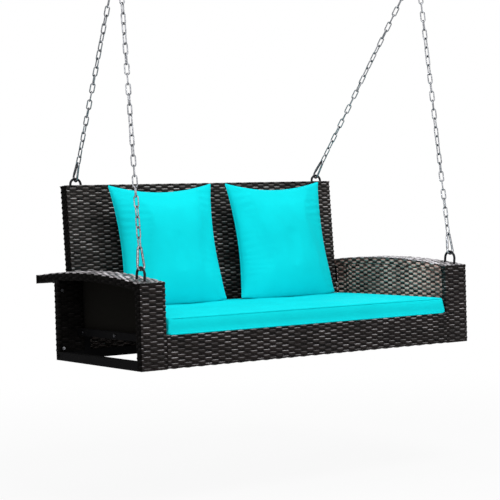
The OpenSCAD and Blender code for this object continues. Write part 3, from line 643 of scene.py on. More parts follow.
@dataclass(frozen=True)
class WickerFinish(Finish):
    """Dark resin strands, streaked along their length, with painted highlights and reflections.

    Attributes:
        deep: colour of the darkest strands.
        brown: colour of the lightest strands.
        face: colour of a crest, a painted highlight.
        pale: colour of an upper edge, a painted highlight, and of a level strand, a painted
            reflection.
        crest_highlight_share: how far crests take the painted highlight.
        edge_highlight_share: how far upper edges take the painted highlight.
        level_reflection_share: how far strands that lie level take the painted reflection.
        level_from: upward part of the normal at which a strand starts to count as level.
        level_to: upward part of the normal at which it lies quite level.
        roughness: mean roughness.
        specular: strength of the reflection.
    """

    name: str = "dark_resin_wicker"
    deep: Colour = (0.0035, 0.0030, 0.0030)
    brown: Colour = (0.0140, 0.0105, 0.0100)
    face: Colour = (0.042, 0.035, 0.033)
    pale: Colour = (0.66, 0.64, 0.66)
    crest_highlight_share: float = 0.7
    edge_highlight_share: float = 0.95
    level_reflection_share: float = 0.4
    level_from: float = 0.86
    level_to: float = 0.97
    roughness: float = 0.34
    specular: float = 0.07

    def inputs(self, tree: Tree, effects: Effects) -> dict[int | str, object]:
        """Adds streaks, and painted highlights and reflections on the strands.

        Args:
            tree: the material's nodes.
            effects: the shared node groups.

        Returns:
            What the shader's inputs hold or are linked from, by name.
        """
        place = tree.add("ShaderNodeTexCoord").outputs
        strand = tree.attribute("strand")
        up = tree.upward(place["Normal"])
        streaks = tree.group(
            effects.grain, Vector=place["UV"], Stretch=(1, 14, 1), Scale=90.0, Detail=4.0
        )
        shade = tree.maths("MULTIPLY_ADD", strand, 0.55, tree.times(streaks, 0.7))
        tone = tree.mix(tree.spread(shade, 0.3, 0.95), self.deep, self.brown)
        # Broad patches that make the painted highlights brighter and dimmer, as uneven light would:
        # painted light.
        patches = tree.group(effects.grain, Vector=place["Object"], Scale=14.0, Detail=3.0)
        painted_light_patches = tree.spread(patches, 0.35, 0.65, 0.45)
        uneven = tree.times(painted_light_patches, tree.spread(strand, 0.0, 1.0, 0.2))
        # Crests take a lighter colour: painted highlight.
        high = tree.spread(tree.attribute("crest"), 0.35, 0.85)
        face = tree.times(high, tree.times(painted_light_patches, self.crest_highlight_share))
        tone = tree.mix(face, tone, self.face)
        # Upper edges of crests, picked by the normal, turn pale: painted highlight.
        edge = tree.times(tree.spread(up, 0.26, 0.56, 0.0, self.edge_highlight_share), high)
        # Level strands turn pale between their edges: painted reflection of the bright
        # surroundings.
        level = tree.times(
            tree.spread(tree.attribute("rim"), 0.25, 0.62, 1.0, 0.02),
            tree.spread(up, self.level_from, self.level_to, 0.0, self.level_reflection_share),
        )
        # The pale marks together: painted highlights and painted reflection.
        rubbed = tree.maths("MAXIMUM", tree.times(edge, uneven), level)
        return {
            "Base Color": tree.mix(rubbed, tone, self.pale),
            "Roughness": tree.maths("MULTIPLY_ADD", streaks, 0.22, self.roughness - 0.1),
            "Normal": tree.bump(streaks, 0.35, 0.0006),
            "Specular IOR Level": self.specular,
        }


@dataclass(frozen=True)
class CoatedSteelFinish(Finish):
    """Black powder-coated steel with a fine orange-peel grain."""

    name: str = "powder_coated_steel"
    colour: Colour = (0.0032, 0.0032, 0.0036)
    rubbed: Colour = (0.04, 0.038, 0.036)
    dust: Colour = (0.22, 0.21, 0.20)
    roughness: float = 0.6
    wear: float = 0.2
    specular: float = 0.015

    def inputs(self, tree: Tree, effects: Effects) -> dict[int | str, object]:
        """Adds clouds, rubbed spots, dust and peel.

        Args:
            tree: the material's nodes.
            effects: the shared node groups.

        Returns:
            What the shader's inputs hold or are linked from, by name.
        """
        place = tree.add("ShaderNodeTexCoord").outputs["Object"]
        peel = tree.group(effects.grain, Vector=place, Scale=1400.0, Detail=2.0)
        clouds = tree.group(effects.grain, Vector=place, Scale=18.0, Detail=3.0)
        wear = tree.group(effects.wear, Vector=place, Scale=45.0, Amount=self.wear)
        dust = tree.group(effects.dust, Vector=place, Amount=0.03)
        lighter = tuple(1.7 * c for c in self.colour)
        coat = tree.mix(tree.spread(clouds, 0.3, 0.7, 0.0, 0.5), self.colour, lighter)
        coat = tree.mix(tree.times(wear, 0.6), coat, self.rubbed)
        return {
            "Base Color": tree.mix(dust, coat, self.dust),
            "Roughness": tree.maths("MULTIPLY_ADD", clouds, 0.2, self.roughness - 0.1),
            "Normal": tree.bump(peel, 0.18, 0.0003),
            "Specular IOR Level": self.specular,
        }


@dataclass(frozen=True)
class ZincFinish(Finish):
    """Zinc plate, cloudy, bright facing the eye and dark on its flanks: a painted reflection."""

    name: str = "zinc_plate"
    bright: Colour = (0.46, 0.47, 0.50)
    dull: Colour = (0.16, 0.165, 0.18)
    painted_dark_reflection: Colour = (0.022, 0.023, 0.028)
    roughness: float = 0.3

    def inputs(self, tree: Tree, effects: Effects) -> dict[int | str, object]:
        """Adds clouds, rubbed spots, painted dark reflections on the flanks, and grain.

        Args:
            tree: the material's nodes.
            effects: the shared node groups.

        Returns:
            What the shader's inputs hold or are linked from, by name.
        """
        place = tree.add("ShaderNodeTexCoord").outputs["Object"]
        clouds = tree.group(effects.grain, Vector=place, Scale=220.0, Detail=3.0)
        fine = tree.group(effects.grain, Vector=place, Scale=1800.0, Detail=2.0)
        wear = tree.group(effects.wear, Vector=place, Scale=120.0, Amount=0.5)
        tone = tree.mix(tree.spread(clouds, 0.35, 0.7), self.bright, self.dull)
        tone = tree.mix(tree.times(wear, 0.5), tone, self.dull)
        # Flanks that turn from the eye darken: a painted reflection of dark surroundings.
        turned = tree.add("ShaderNodeLayerWeight", {"Blend": 0.5}).outputs["Facing"]
        return {
            "Base Color": tree.mix(tree.spread(turned, 0.08, 0.42), tone, self.painted_dark_reflection),
            "Roughness": tree.maths("MULTIPLY_ADD", clouds, 0.25, self.roughness - 0.08),
            "Normal": tree.bump(fine, 0.15, 0.0002),
            "Metallic": 1.0,
        }


@dataclass(frozen=True)
class ClothFinish(Finish):
    """Turquoise outdoor cloth in a plain weave, a little faded in patches."""

    name: str = "turquoise_canvas"
    colour: Colour = (0.004, 0.78, 0.84)
    shaded: Colour = (0.003, 0.62, 0.69)
    yarns: float = 900.0
    roughness: float = 0.85
    sheen: float = 0.1
    specular: float = 0.05

    def inputs(self, tree: Tree, effects: Effects) -> dict[int | str, object]:
        """Adds yarns, slubs and faded patches.

        Args:
            tree: the material's nodes.
            effects: the shared node groups.

        Returns:
            What the shader's inputs hold or are linked from, by name.
        """
        place = tree.add("ShaderNodeTexCoord").outputs
        height = tree.group(effects.weave, Vector=place["UV"], Yarns=self.yarns)
        gap = height.node.outputs["Gap"]
        patches = tree.group(effects.grain, Vector=place["Object"], Scale=9.0, Detail=4.0)
        slubs = tree.group(
            effects.grain, Vector=place["UV"], Stretch=(1, 9, 1), Scale=160.0, Detail=2.0
        )
        tone = tree.mix(tree.spread(patches, 0.3, 0.75, 0.0, 0.35), self.colour, self.shaded)
        tone = tree.mix(tree.times(gap, 0.30), tone, self.shaded)
        tone = tree.mix(tree.spread(slubs, 0.55, 0.8, 0.0, 0.25), tone, self.shaded)
        return {
            "Base Color": tone,
            "Roughness": self.roughness,
            "Normal": tree.bump(tree.maths("MULTIPLY_ADD", slubs, 0.4, height), 0.35, 0.0004),
            "Specular IOR Level": self.specular,
            "Sheen Weight": self.sheen,
            "Sheen Tint": self.colour,
        }


@dataclass(frozen=True)
class PaintedShadeCoreFinish(Finish):
    """Dark fill seen in the slits between strands and behind the arm panels: painted shade."""

    name: str = "painted_shade_core"
    colour: Colour = (0.009, 0.0085, 0.0075)
    roughness: float = 0.8

    def inputs(self, tree: Tree, effects: Effects) -> dict[int | str, object]:
        """Adds a fine grain.

        Args:
            tree: the material's nodes.
            effects: the shared node groups.

        Returns:
            What the shader's inputs hold or are linked from, by name.
        """
        place = tree.add("ShaderNodeTexCoord").outputs["Object"]
        grain = tree.group(effects.grain, Vector=place, Scale=300.0, Detail=3.0)
        return {
            "Base Color": tree.mix(grain, self.colour, tuple(2 * c for c in self.colour)),
            "Roughness": self.roughness,
            "Specular IOR Level": 0.0,
        }


class Finishes:
    """Every material of the part, built from the shared effects."""

    def __init__(self) -> None:
        """Builds the materials."""
        effects = Effects()
        self.wicker = WickerFinish().build(effects)
        # A lighter copy of the wicker for the backrest: painted light.
        self.worn = WickerFinish(
            "painted_light_back_wicker",
            deep=(0.006, 0.005, 0.0048),
            brown=(0.026, 0.021, 0.019),
            face=(0.095, 0.078, 0.072),
            pale=(0.8, 0.77, 0.78),
        ).build(effects)
        # A much lighter, warmer copy of the wicker for the faces that look at the seat: painted
        # light.
        self.rubbed = WickerFinish(
            "painted_light_side_wicker",
            deep=(0.012, 0.008, 0.007),
            brown=(0.11, 0.063, 0.055),
            face=(0.62, 0.385, 0.335),
            crest_highlight_share=1.0,
            pale=(0.7, 0.5, 0.47),
        ).build(effects)
        # A copy whose level strands turn almost white, for the arm tops: painted reflection of the
        # bright surroundings.
        self.painted_reflection_wicker = WickerFinish(
            "painted_reflection_top_wicker",
            pale=(1.0, 0.95, 1.0),
            level_reflection_share=1.0,
            level_from=0.50,
            level_to=0.85,
        ).build(effects)
        # A near-black copy of the wicker without highlights, for sides that lie in shade: painted
        # shade.
        self.shaded = WickerFinish(
            "painted_shade_wicker",
            deep=(0.0020, 0.0019, 0.0018),
            brown=(0.0050, 0.0045, 0.0043),
            crest_highlight_share=0.08,
            edge_highlight_share=0.03,
            level_reflection_share=0.0,
            roughness=0.6,
            specular=0.01,
        ).build(effects)
        # Dark fill for the insides of the skins and the arm recesses: painted shade.
        self.core = PaintedShadeCoreFinish().build(effects)
        self.frame = CoatedSteelFinish().build(effects)
        self.eye = CoatedSteelFinish(
            "black_eye_paint", (0.005, 0.005, 0.007), roughness=0.3, specular=0.15
        ).build(effects)
        self.zinc = ZincFinish().build(effects)
        self.cloth = ClothFinish().build(effects)


# ---------- sizes of the bench ----------


@dataclass(frozen=True)
class Bench:
    """Sizes that the woven skins share with the frame, in the bench's own frame.

    X is centred, Y is 0 at the front face and Z is 0 at the underside.

    Attributes:
        origin: place of the bench's frame in the part's frame.
        arm_in: X of the right arm's inner face.
        arm_out: X of its outer face.
        depth: Y of the rear post's rear face.
        member: thickness of the arms' and the apron's members over their skins.
        skin: thickness of a woven skin.
        core_gap: how deep the dark core lies under a skin's face.
        edge: how near to a side's plane a face counts as that side's.
        foot: height of the rear post's foot.
        arm_length: Y of the arm top's rear end.
        arch_front: height of the arm's top in front.
        arch_tail: its height behind.
        arch_radius: radius of its arch.
        seat_half: half the clear width between the arms.
        deck_top: height of the woven deck.
        panel_low: height of the foot of the inner panels.
        back_y: Y of the backrest's front face at the height of the bench's underside.
        back_lean: how far the backrest leans back.
        back_thick: its thickness.
        back_low: height of its lower edge.
        back_high: height of its upper edge.
        back_half: half its width.
    """

    origin: Vector
    arm_in: float
    arm_out: float
    depth: float
    member: float = 0.028
    skin: float = 0.003
    core_gap: float = 0.0029
    edge: float = 0.004
    foot: float = 0.027
    arm_length: float = 0.660
    arch_front: float = 0.259
    arch_tail: float = 0.2695
    arch_radius: float = 2.8
    seat_half: float = 0.542
    deck_top: float = 0.1015
    panel_low: float = 0.073
    back_y: float = 0.581
    back_lean: float = math.radians(4.05)
    back_thick: float = 0.042
    back_low: float = 0.020
    back_high: float = 0.559
    back_half: float = 0.541

    @classmethod
    def from_frame(cls) -> "Bench":
        """Reads the bench's place and its arms' width from the construction model.

        Returns:
            The bench's sizes.
        """
        low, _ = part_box("front_apron")
        column_low, column_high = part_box("front_column_right")
        _, post_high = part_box("bottom_rail_right")
        return cls(
            origin=Vector((0, low.y, low.z)),
            arm_in=column_low.x,
            arm_out=column_high.x,
            depth=post_high.y - low.y,
        )

    @property
    def arch_centre(self) -> tuple[float, float]:
        """Y and Z of the centre of the arm top's circle."""
        rise = self.arch_tail - self.arch_front
        chord = math.hypot(self.arm_length, rise)
        drop = math.sqrt(self.arch_radius**2 - chord**2 / 4) / chord
        middle = (self.arch_front + self.arch_tail) / 2
        return self.arm_length / 2 + rise * drop, middle - self.arm_length * drop

    def arch_top(self, y: np.ndarray | float) -> np.ndarray | float:
        """Height of the arm's top at a distance from the front."""
        centre_y, centre_z = self.arch_centre
        return centre_z + np.sqrt(self.arch_radius**2 - (y - centre_y) ** 2)

    def place(self, spots: np.ndarray) -> np.ndarray:
        """Moves points from the bench's frame to the part's frame."""
        return spots + np.array(self.origin)


# ---------- forms that woven sheets are bent round ----------


@dataclass(frozen=True)
class RoundLoop:
    """Rectangle with round corners, run anticlockwise from the middle of its upper side.

    Attributes:
        half_a: half its length along the first axis.
        half_b: half its length along the second axis.
        radius: radius of its corners.
    """

    half_a: float
    half_b: float
    radius: float = 0.004

    @property
    def length(self) -> float:
        """Distance all the way round."""
        straight = 4 * (self.half_a + self.half_b - 2 * self.radius)
        return straight + 2 * math.pi * self.radius

    def at(self, run: np.ndarray) -> tuple[np.ndarray, np.ndarray]:
        """Finds points on the loop.

        Args:
            run: distances round it.

        Returns:
            The points and the outward directions there, two columns each.
        """
        r = self.radius
        a, b = self.half_a - r, self.half_b - r
        quarter = math.pi * r / 2
        legs = [
            ("line", a, (0, self.half_b), (-1, 0), (0, 1)),
            ("arc", quarter, (-a, b), 90, None),
            ("line", 2 * b, (-self.half_a, b), (0, -1), (-1, 0)),
            ("arc", quarter, (-a, -b), 180, None),
            ("line", 2 * a, (-a, -self.half_b), (1, 0), (0, -1)),
            ("arc", quarter, (a, -b), 270, None),
            ("line", 2 * b, (self.half_a, -b), (0, 1), (1, 0)),
            ("arc", quarter, (a, b), 0, None),
            ("line", a, (a, self.half_b), (-1, 0), (0, 1)),
        ]
        run = np.mod(run + 1e-9, self.length) - 1e-9
        spots = np.zeros((len(run), 2))
        outs = np.zeros((len(run), 2))
        start = 0.0
        for kind, span, origin, way, out in legs:
            here = (run >= start - 1e-8) & (run <= start + span + 1e-8)
            t = run[here] - start
            if kind == "line":
                spots[here] = np.array(origin) + t[:, None] * np.array(way)
                outs[here] = out
            else:
                angle = math.radians(way) + t / r
                outs[here] = np.stack([np.cos(angle), np.sin(angle)], 1)
                spots[here] = np.array(origin) + r * outs[here]
            start += span
        return spots, outs

    def over(self, run: np.ndarray, height: np.ndarray) -> np.ndarray:
        """Finds points at a height over the loop.

        Args:
            run: distances round it.
            height: how far outside it each point lies.

        Returns:
            The points, two columns.
        """
        spots, outs = self.at(run)
        return spots + height[:, None] * outs


@dataclass
class WovenSheet:
    """Flat sheet of plain-woven strands, made from one tile that is copied along and across.

    A strand runs along X and bulges over every other stake. A stake runs along Y. Z is outwards.

    Attributes:
        name: name of the piece.
        length: length along the strands.
        height: length across the strands.
        stake_pitch: about how far apart the stakes stand.
        row_pitch: about how far apart the strands lie.
        bulge: how far a strand stands out over a stake, and in behind the next one.
        middle: level of the strands' middle under the sheet's face.
        gap: slit between two strands.
        crown: how far a strand's edges lie under its middle.
        flat_share: how far a strand's flat part widens, as a share of its width.
        stake_width: width of a stake.
        stake_depth: how far a stake's edges lie under the strands' middle.
        stake_crown: how far its middle line is raised.
        steps: cuts along a strand between two stakes.
    """

    # Factors that scatter the shades of strands: by row, by stake, by the sheet's name, and in all.
    SCATTER = (12.9898, 78.233, 4.1, 43758.5453)

    name: str
    length: float
    height: float
    stake_pitch: float = 0.0235
    row_pitch: float = 0.0085
    bulge: float = 0.0013
    middle: float = -0.0012
    gap: float = 0.0003
    crown: float = 0.0014
    flat_share: float = 0.12
    stake_width: float = 0.006
    stake_depth: float = 0.0006
    stake_crown: float = 0.0007
    steps: int = 5

    def build(self) -> bpy.types.Object:
        """Models the tile and copies it.

        Returns:
            The sheet, with its flat map as UV and with crest, rim and strand attributes.
        """
        pairs = max(1, round(self.length / (2 * self.stake_pitch)))
        rows = max(1, round(self.height / self.row_pitch))
        pitch = self.length / (2 * pairs)
        row = self.height / rows
        strands = [self._strand(pitch, row, index) for index in range(2)]
        stakes = [self._stake(pitch, row, index) for index in range(2)]
        sheet = join(self.name, strands + stakes)
        for count, step in ((pairs, (2 * pitch, 0, 0)), ((rows + 1) // 2, (0, 2 * row, 0))):
            copies = sheet.modifiers.new("copies", "ARRAY")
            copies.use_relative_offset = False
            copies.use_constant_offset = True
            copies.constant_offset_displace = step
            copies.count = count
            copies.use_merge_vertices = True
            copies.merge_threshold = 1e-6
        apply_modifiers(sheet)
        if rows % 2:
            delete_faces(sheet, centres(sheet)[:, 1] > rows * row)
        self._mark(sheet, pitch, row)
        return sheet

    def _strand(self, pitch: float, row: float, index: int) -> bpy.types.Object:
        """Models two stakes' length of one strand.

        Args:
            pitch: distance between stakes.
            row: distance between strands.
            index: 0 for the lower strand of the tile and 1 for the upper one.

        Returns:
            The piece of strand.
        """
        width = row - self.gap
        columns = 2 * self.steps
        line = (index + 0.5) * row
        strand = add_grid("strand", (2 * pitch, width), (columns, 3), (pitch, line, self.middle))
        spots = points(strand)
        side = 1 - 2 * index
        for column in range(columns + 1):
            x = 2 * pitch * column / columns
            lift = side * self.bulge * math.cos(math.pi * x / pitch)
            move_points(strand, np.abs(spots[:, 0] - x) < NEAR, (0, 0, lift))
        edge = np.abs(np.abs(spots[:, 1] - line) - width / 2) < NEAR
        move_points(strand, edge, (0, 0, -self.crown))
        upper = points(strand)[:, 1] > line
        for chosen, way in ((~edge & upper, 1), (~edge & ~upper, -1)):
            move_points(strand, chosen, (0, way * width * self.flat_share, 0))
        spots = points(strand)
        store(strand, "crest", 0.5 + 0.5 * side * np.cos(math.pi * spots[:, 0] / pitch))
        store(strand, "rim", np.abs(spots[:, 1] - line) / (width / 2))
        return strand

    def _stake(self, pitch: float, row: float, index: int) -> bpy.types.Object:
        """Models two strands' length of one stake, with its middle line raised.

        Args:
            pitch: distance between stakes.
            row: distance between strands.
            index: which stake of the tile.

        Returns:
            The piece of stake.
        """
        middle = (index * pitch, row, self.middle - self.stake_depth)
        stake = add_grid("stake", (self.stake_width, 2 * row), (2, 2), middle)
        spots = points(stake)
        move_points(stake, np.abs(spots[:, 0] - index * pitch) < NEAR, (0, 0, self.stake_crown))
        store(stake, "rim", np.ones(len(spots)))
        return stake

    def _mark(self, sheet: bpy.types.Object, pitch: float, row: float) -> None:
        """Writes the flat map and a scattered shade for each stretch of strand between two stakes.

        Args:
            sheet: the flat sheet.
            pitch: distance between stakes.
            row: distance between strands.
        """
        spots = points(sheet)
        corner = read(sheet.data.loops, "vertex_index")
        store_map(sheet, spots[corner][:, :2])
        rows, columns = np.floor(spots[:, 1] / row), np.round(spots[:, 0] / pitch)
        by_row, by_stake, by_name, in_all = self.SCATTER
        phase = rows * by_row + columns * by_stake + len(self.name) * by_name
        store(sheet, "strand", np.mod(np.sin(phase) * in_all, 1.0))


@dataclass
class WickerWork:
    """Weaver of the bench: makes each woven skin and puts it in place of its plain solid."""

    bench: Bench
    finishes: Finishes

    def finish_piece(
        self, name: str, parts: Sequence[bpy.types.Object], nodes: Sequence[str]
    ) -> bpy.types.Object:
        """Joins sheets and their dark core into a finished piece.

        Args:
            name: name of the piece.
            parts: woven sheets, in place.
            nodes: construction nodes that the piece stands for.

        Returns:
            The finished piece.
        """
        piece = join(name, parts)
        smooth(piece)
        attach(piece, Body.SWING.value)
        if nodes:
            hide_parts(*nodes)
        log.info("%s: %d faces", name, len(piece.data.polygons))
        return piece

    def sheet(
        self,
        name: str,
        length: float,
        height: float,
        form: Form,
        drop: Test | None = None,
        material: bpy.types.Material | None = None,
        others: Sequence[tuple[bpy.types.Material, Test]] = (),
        **kind: float,
    ) -> bpy.types.Object:
        """Weaves a sheet, bends it round a form in the bench's frame and dresses it.

        Args:
            name: name of the sheet.
            length: length along the strands.
            height: length across the strands.
            form: turns places along, across and over the flat sheet into places on the bench.
            drop: picks faces to cut away, from their middles in the bench's frame.
            material: its finish, where it isn't the plain one.
            others: further finishes, each with a test that picks its faces from their middles.
            kind: other sizes of the weave.

        Returns:
            The sheet, in the part's frame.
        """
        sheet = WovenSheet(name, length, height, **kind).build()
        set_points(sheet, form(points(sheet)))
        if drop is not None:
            delete_faces(sheet, drop(centres(sheet)))
        dress(sheet, material or self.finishes.wicker)
        slots = np.zeros(len(sheet.data.polygons), int)
        for finish, test in others:
            sheet.data.materials.append(finish)
            slots[test(centres(sheet))] = len(sheet.data.materials) - 1
        sheet.data.polygons.foreach_set("material_index", slots)
        set_points(sheet, self.bench.place(points(sheet)))
        return sheet

    def core(
        self,
        name: str,
        low: Sequence[float],
        high: Sequence[float],
        form: Form | None = None,
        cuts: int = 0,
    ) -> bpy.types.Object:
        """Makes the dark inside of a skin, painted shade.

        Args:
            name: name of the core.
            low: lowest corner in the bench's frame.
            high: highest corner.
            form: bends it, where it is not straight.
            cuts: how often its edges are cut before it is bent.

        Returns:
            The core, in the part's frame.
        """
        block = add_block(name, low, high)
        if cuts:
            with editing(block):
                bpy.ops.mesh.subdivide(number_cuts=cuts)
        if form:
            set_points(block, form(points(block)))
        set_points(block, self.bench.place(points(block)))
        dress(block, self.finishes.core)
        return block

    def loop_up(self, loop: RoundLoop, middle: Sequence[float], low: float) -> Form:
        """Form of strands that run level round an upright.

        Args:
            loop: the upright's outline, X then Y.
            middle: X and Y of its centre.
            low: height of its foot.

        Returns:
            The form.
        """

        def form(flat: np.ndarray) -> np.ndarray:
            """Bends the sheet."""
            spots = loop.over(flat[:, 0], flat[:, 2])
            return np.column_stack([spots + np.array(middle), flat[:, 1] + low])

        return form

    def lean_back(self, spots: np.ndarray) -> np.ndarray:
        """Leans the backrest's places back.

        Args:
            spots: X, thickness and height on the upright backrest.

        Returns:
            The places in the bench's frame.
        """
        sin, cos = math.sin(self.bench.back_lean), math.cos(self.bench.back_lean)
        y = self.bench.back_y + spots[:, 1] * cos + spots[:, 2] * sin
        z = -spots[:, 1] * sin + spots[:, 2] * cos
        return np.column_stack([spots[:, 0], y, z])

    def on_arch(self, spots: np.ndarray) -> np.ndarray:
        """Bends an arm top's places onto the arch.

        Args:
            spots: X, distance along the arm's top and height over it.

        Returns:
            The places in the bench's frame.
        """
        b = self.bench
        centre_y, centre_z = b.arch_centre
        angle = math.asin(-centre_y / b.arch_radius) + spots[:, 1] / b.arch_radius
        reach = b.arch_radius + spots[:, 2]
        y = np.clip(centre_y + reach * np.sin(angle), -b.skin, b.arm_length + b.skin)
        return np.column_stack([spots[:, 0], y, centre_z + reach * np.cos(angle)])


@dataclass
class Backrest(WickerWork):
    """Woven backrest: level strands round a thin upright box, and a strip on each edge.

    Attributes:
        corner: radius of its upright corners.
    """

    corner: float = 0.006

    def build(self) -> None:
        """Makes the front, rear and edges of the backrest."""
        b = self.bench
        cos = math.cos(b.back_lean)
        low, high = b.back_low / cos, b.back_high / cos
        loop = RoundLoop(b.back_half, b.back_thick / 2, self.corner)
        upright = self.loop_up(loop, (0, b.back_thick / 2), low)

        def strip(top: bool) -> Form:
            """Form of the strip on one edge.

            Args:
                top: whether it is the upper edge.

            Returns:
                The form.
            """

            def form(flat: np.ndarray) -> np.ndarray:
                """Bends the sheet."""
                across = flat[:, 1] if top else b.back_thick - flat[:, 1]
                level = high + flat[:, 2] if top else low - flat[:, 2]
                return self.lean_back(np.column_stack([flat[:, 0] - b.back_half, across, level]))

            return form

        def at_end(spots: np.ndarray) -> np.ndarray:
            """Faces of the backrest's two ends, which take the painted shade."""
            return np.abs(spots[:, 0]) > b.back_half - b.edge

        gap = b.core_gap
        parts = [
            # The backrest's faces take the lighter copy of the wicker, painted light, and its ends
            # the near-black copy, painted shade.
            self.sheet(
                "back_weave", loop.length, high - low, lambda flat: self.lean_back(upright(flat)),
                material=self.finishes.worn, others=[(self.finishes.shaded, at_end)],
            ),
            self.sheet("back_top", 2 * b.back_half, b.back_thick, strip(True)),
            self.sheet("back_foot", 2 * b.back_half, b.back_thick, strip(False)),
            self.core(
                "back_core",
                (gap - b.back_half, gap, low + gap),
                (b.back_half - gap, b.back_thick - gap, high - gap),
                self.lean_back,
            ),
        ]
        self.finish_piece("woven_backrest", parts, ["back_panel"])


@dataclass
class SeatWicker(WickerWork):
    """Woven apron under the front of the seat, and the woven deck that carries the cushion.

    Attributes:
        corner: radius of the apron's corners.
        deck_bulge: how far the deck's strands stand out.
    """

    corner: float = 0.004
    deck_bulge: float = 0.0009

    def build(self) -> None:
        """Makes the apron and the deck."""
        b = self.bench
        gap = b.core_gap
        loop = RoundLoop(b.deck_top / 2, b.member / 2, self.corner)

        def apron(flat: np.ndarray) -> np.ndarray:
            """Bends strands that run along the seat round the apron's section."""
            spots = loop.over(flat[:, 1], flat[:, 2])
            return np.column_stack([
                flat[:, 0] - b.seat_half, b.member / 2 - spots[:, 1], b.deck_top / 2 - spots[:, 0]
            ])

        def deck(flat: np.ndarray) -> np.ndarray:
            """Lays the sheet flat."""
            return flat + np.array([-b.seat_half, b.member, b.deck_top])

        skins = [
            self.sheet("apron_weave", 2 * b.seat_half, loop.length, apron),
            self.core(
                "apron_core",
                (-b.seat_half, gap, gap),
                (b.seat_half, b.member - gap, b.deck_top - gap),
            ),
        ]
        self.finish_piece("woven_apron", skins, ["front_apron"])
        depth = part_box("seat_deck")[1].y - b.origin.y - b.member
        skins = [self.sheet("deck_weave", 2 * b.seat_half, depth, deck, bulge=self.deck_bulge)]
        self.finish_piece("woven_deck", skins, ["seat_deck"])


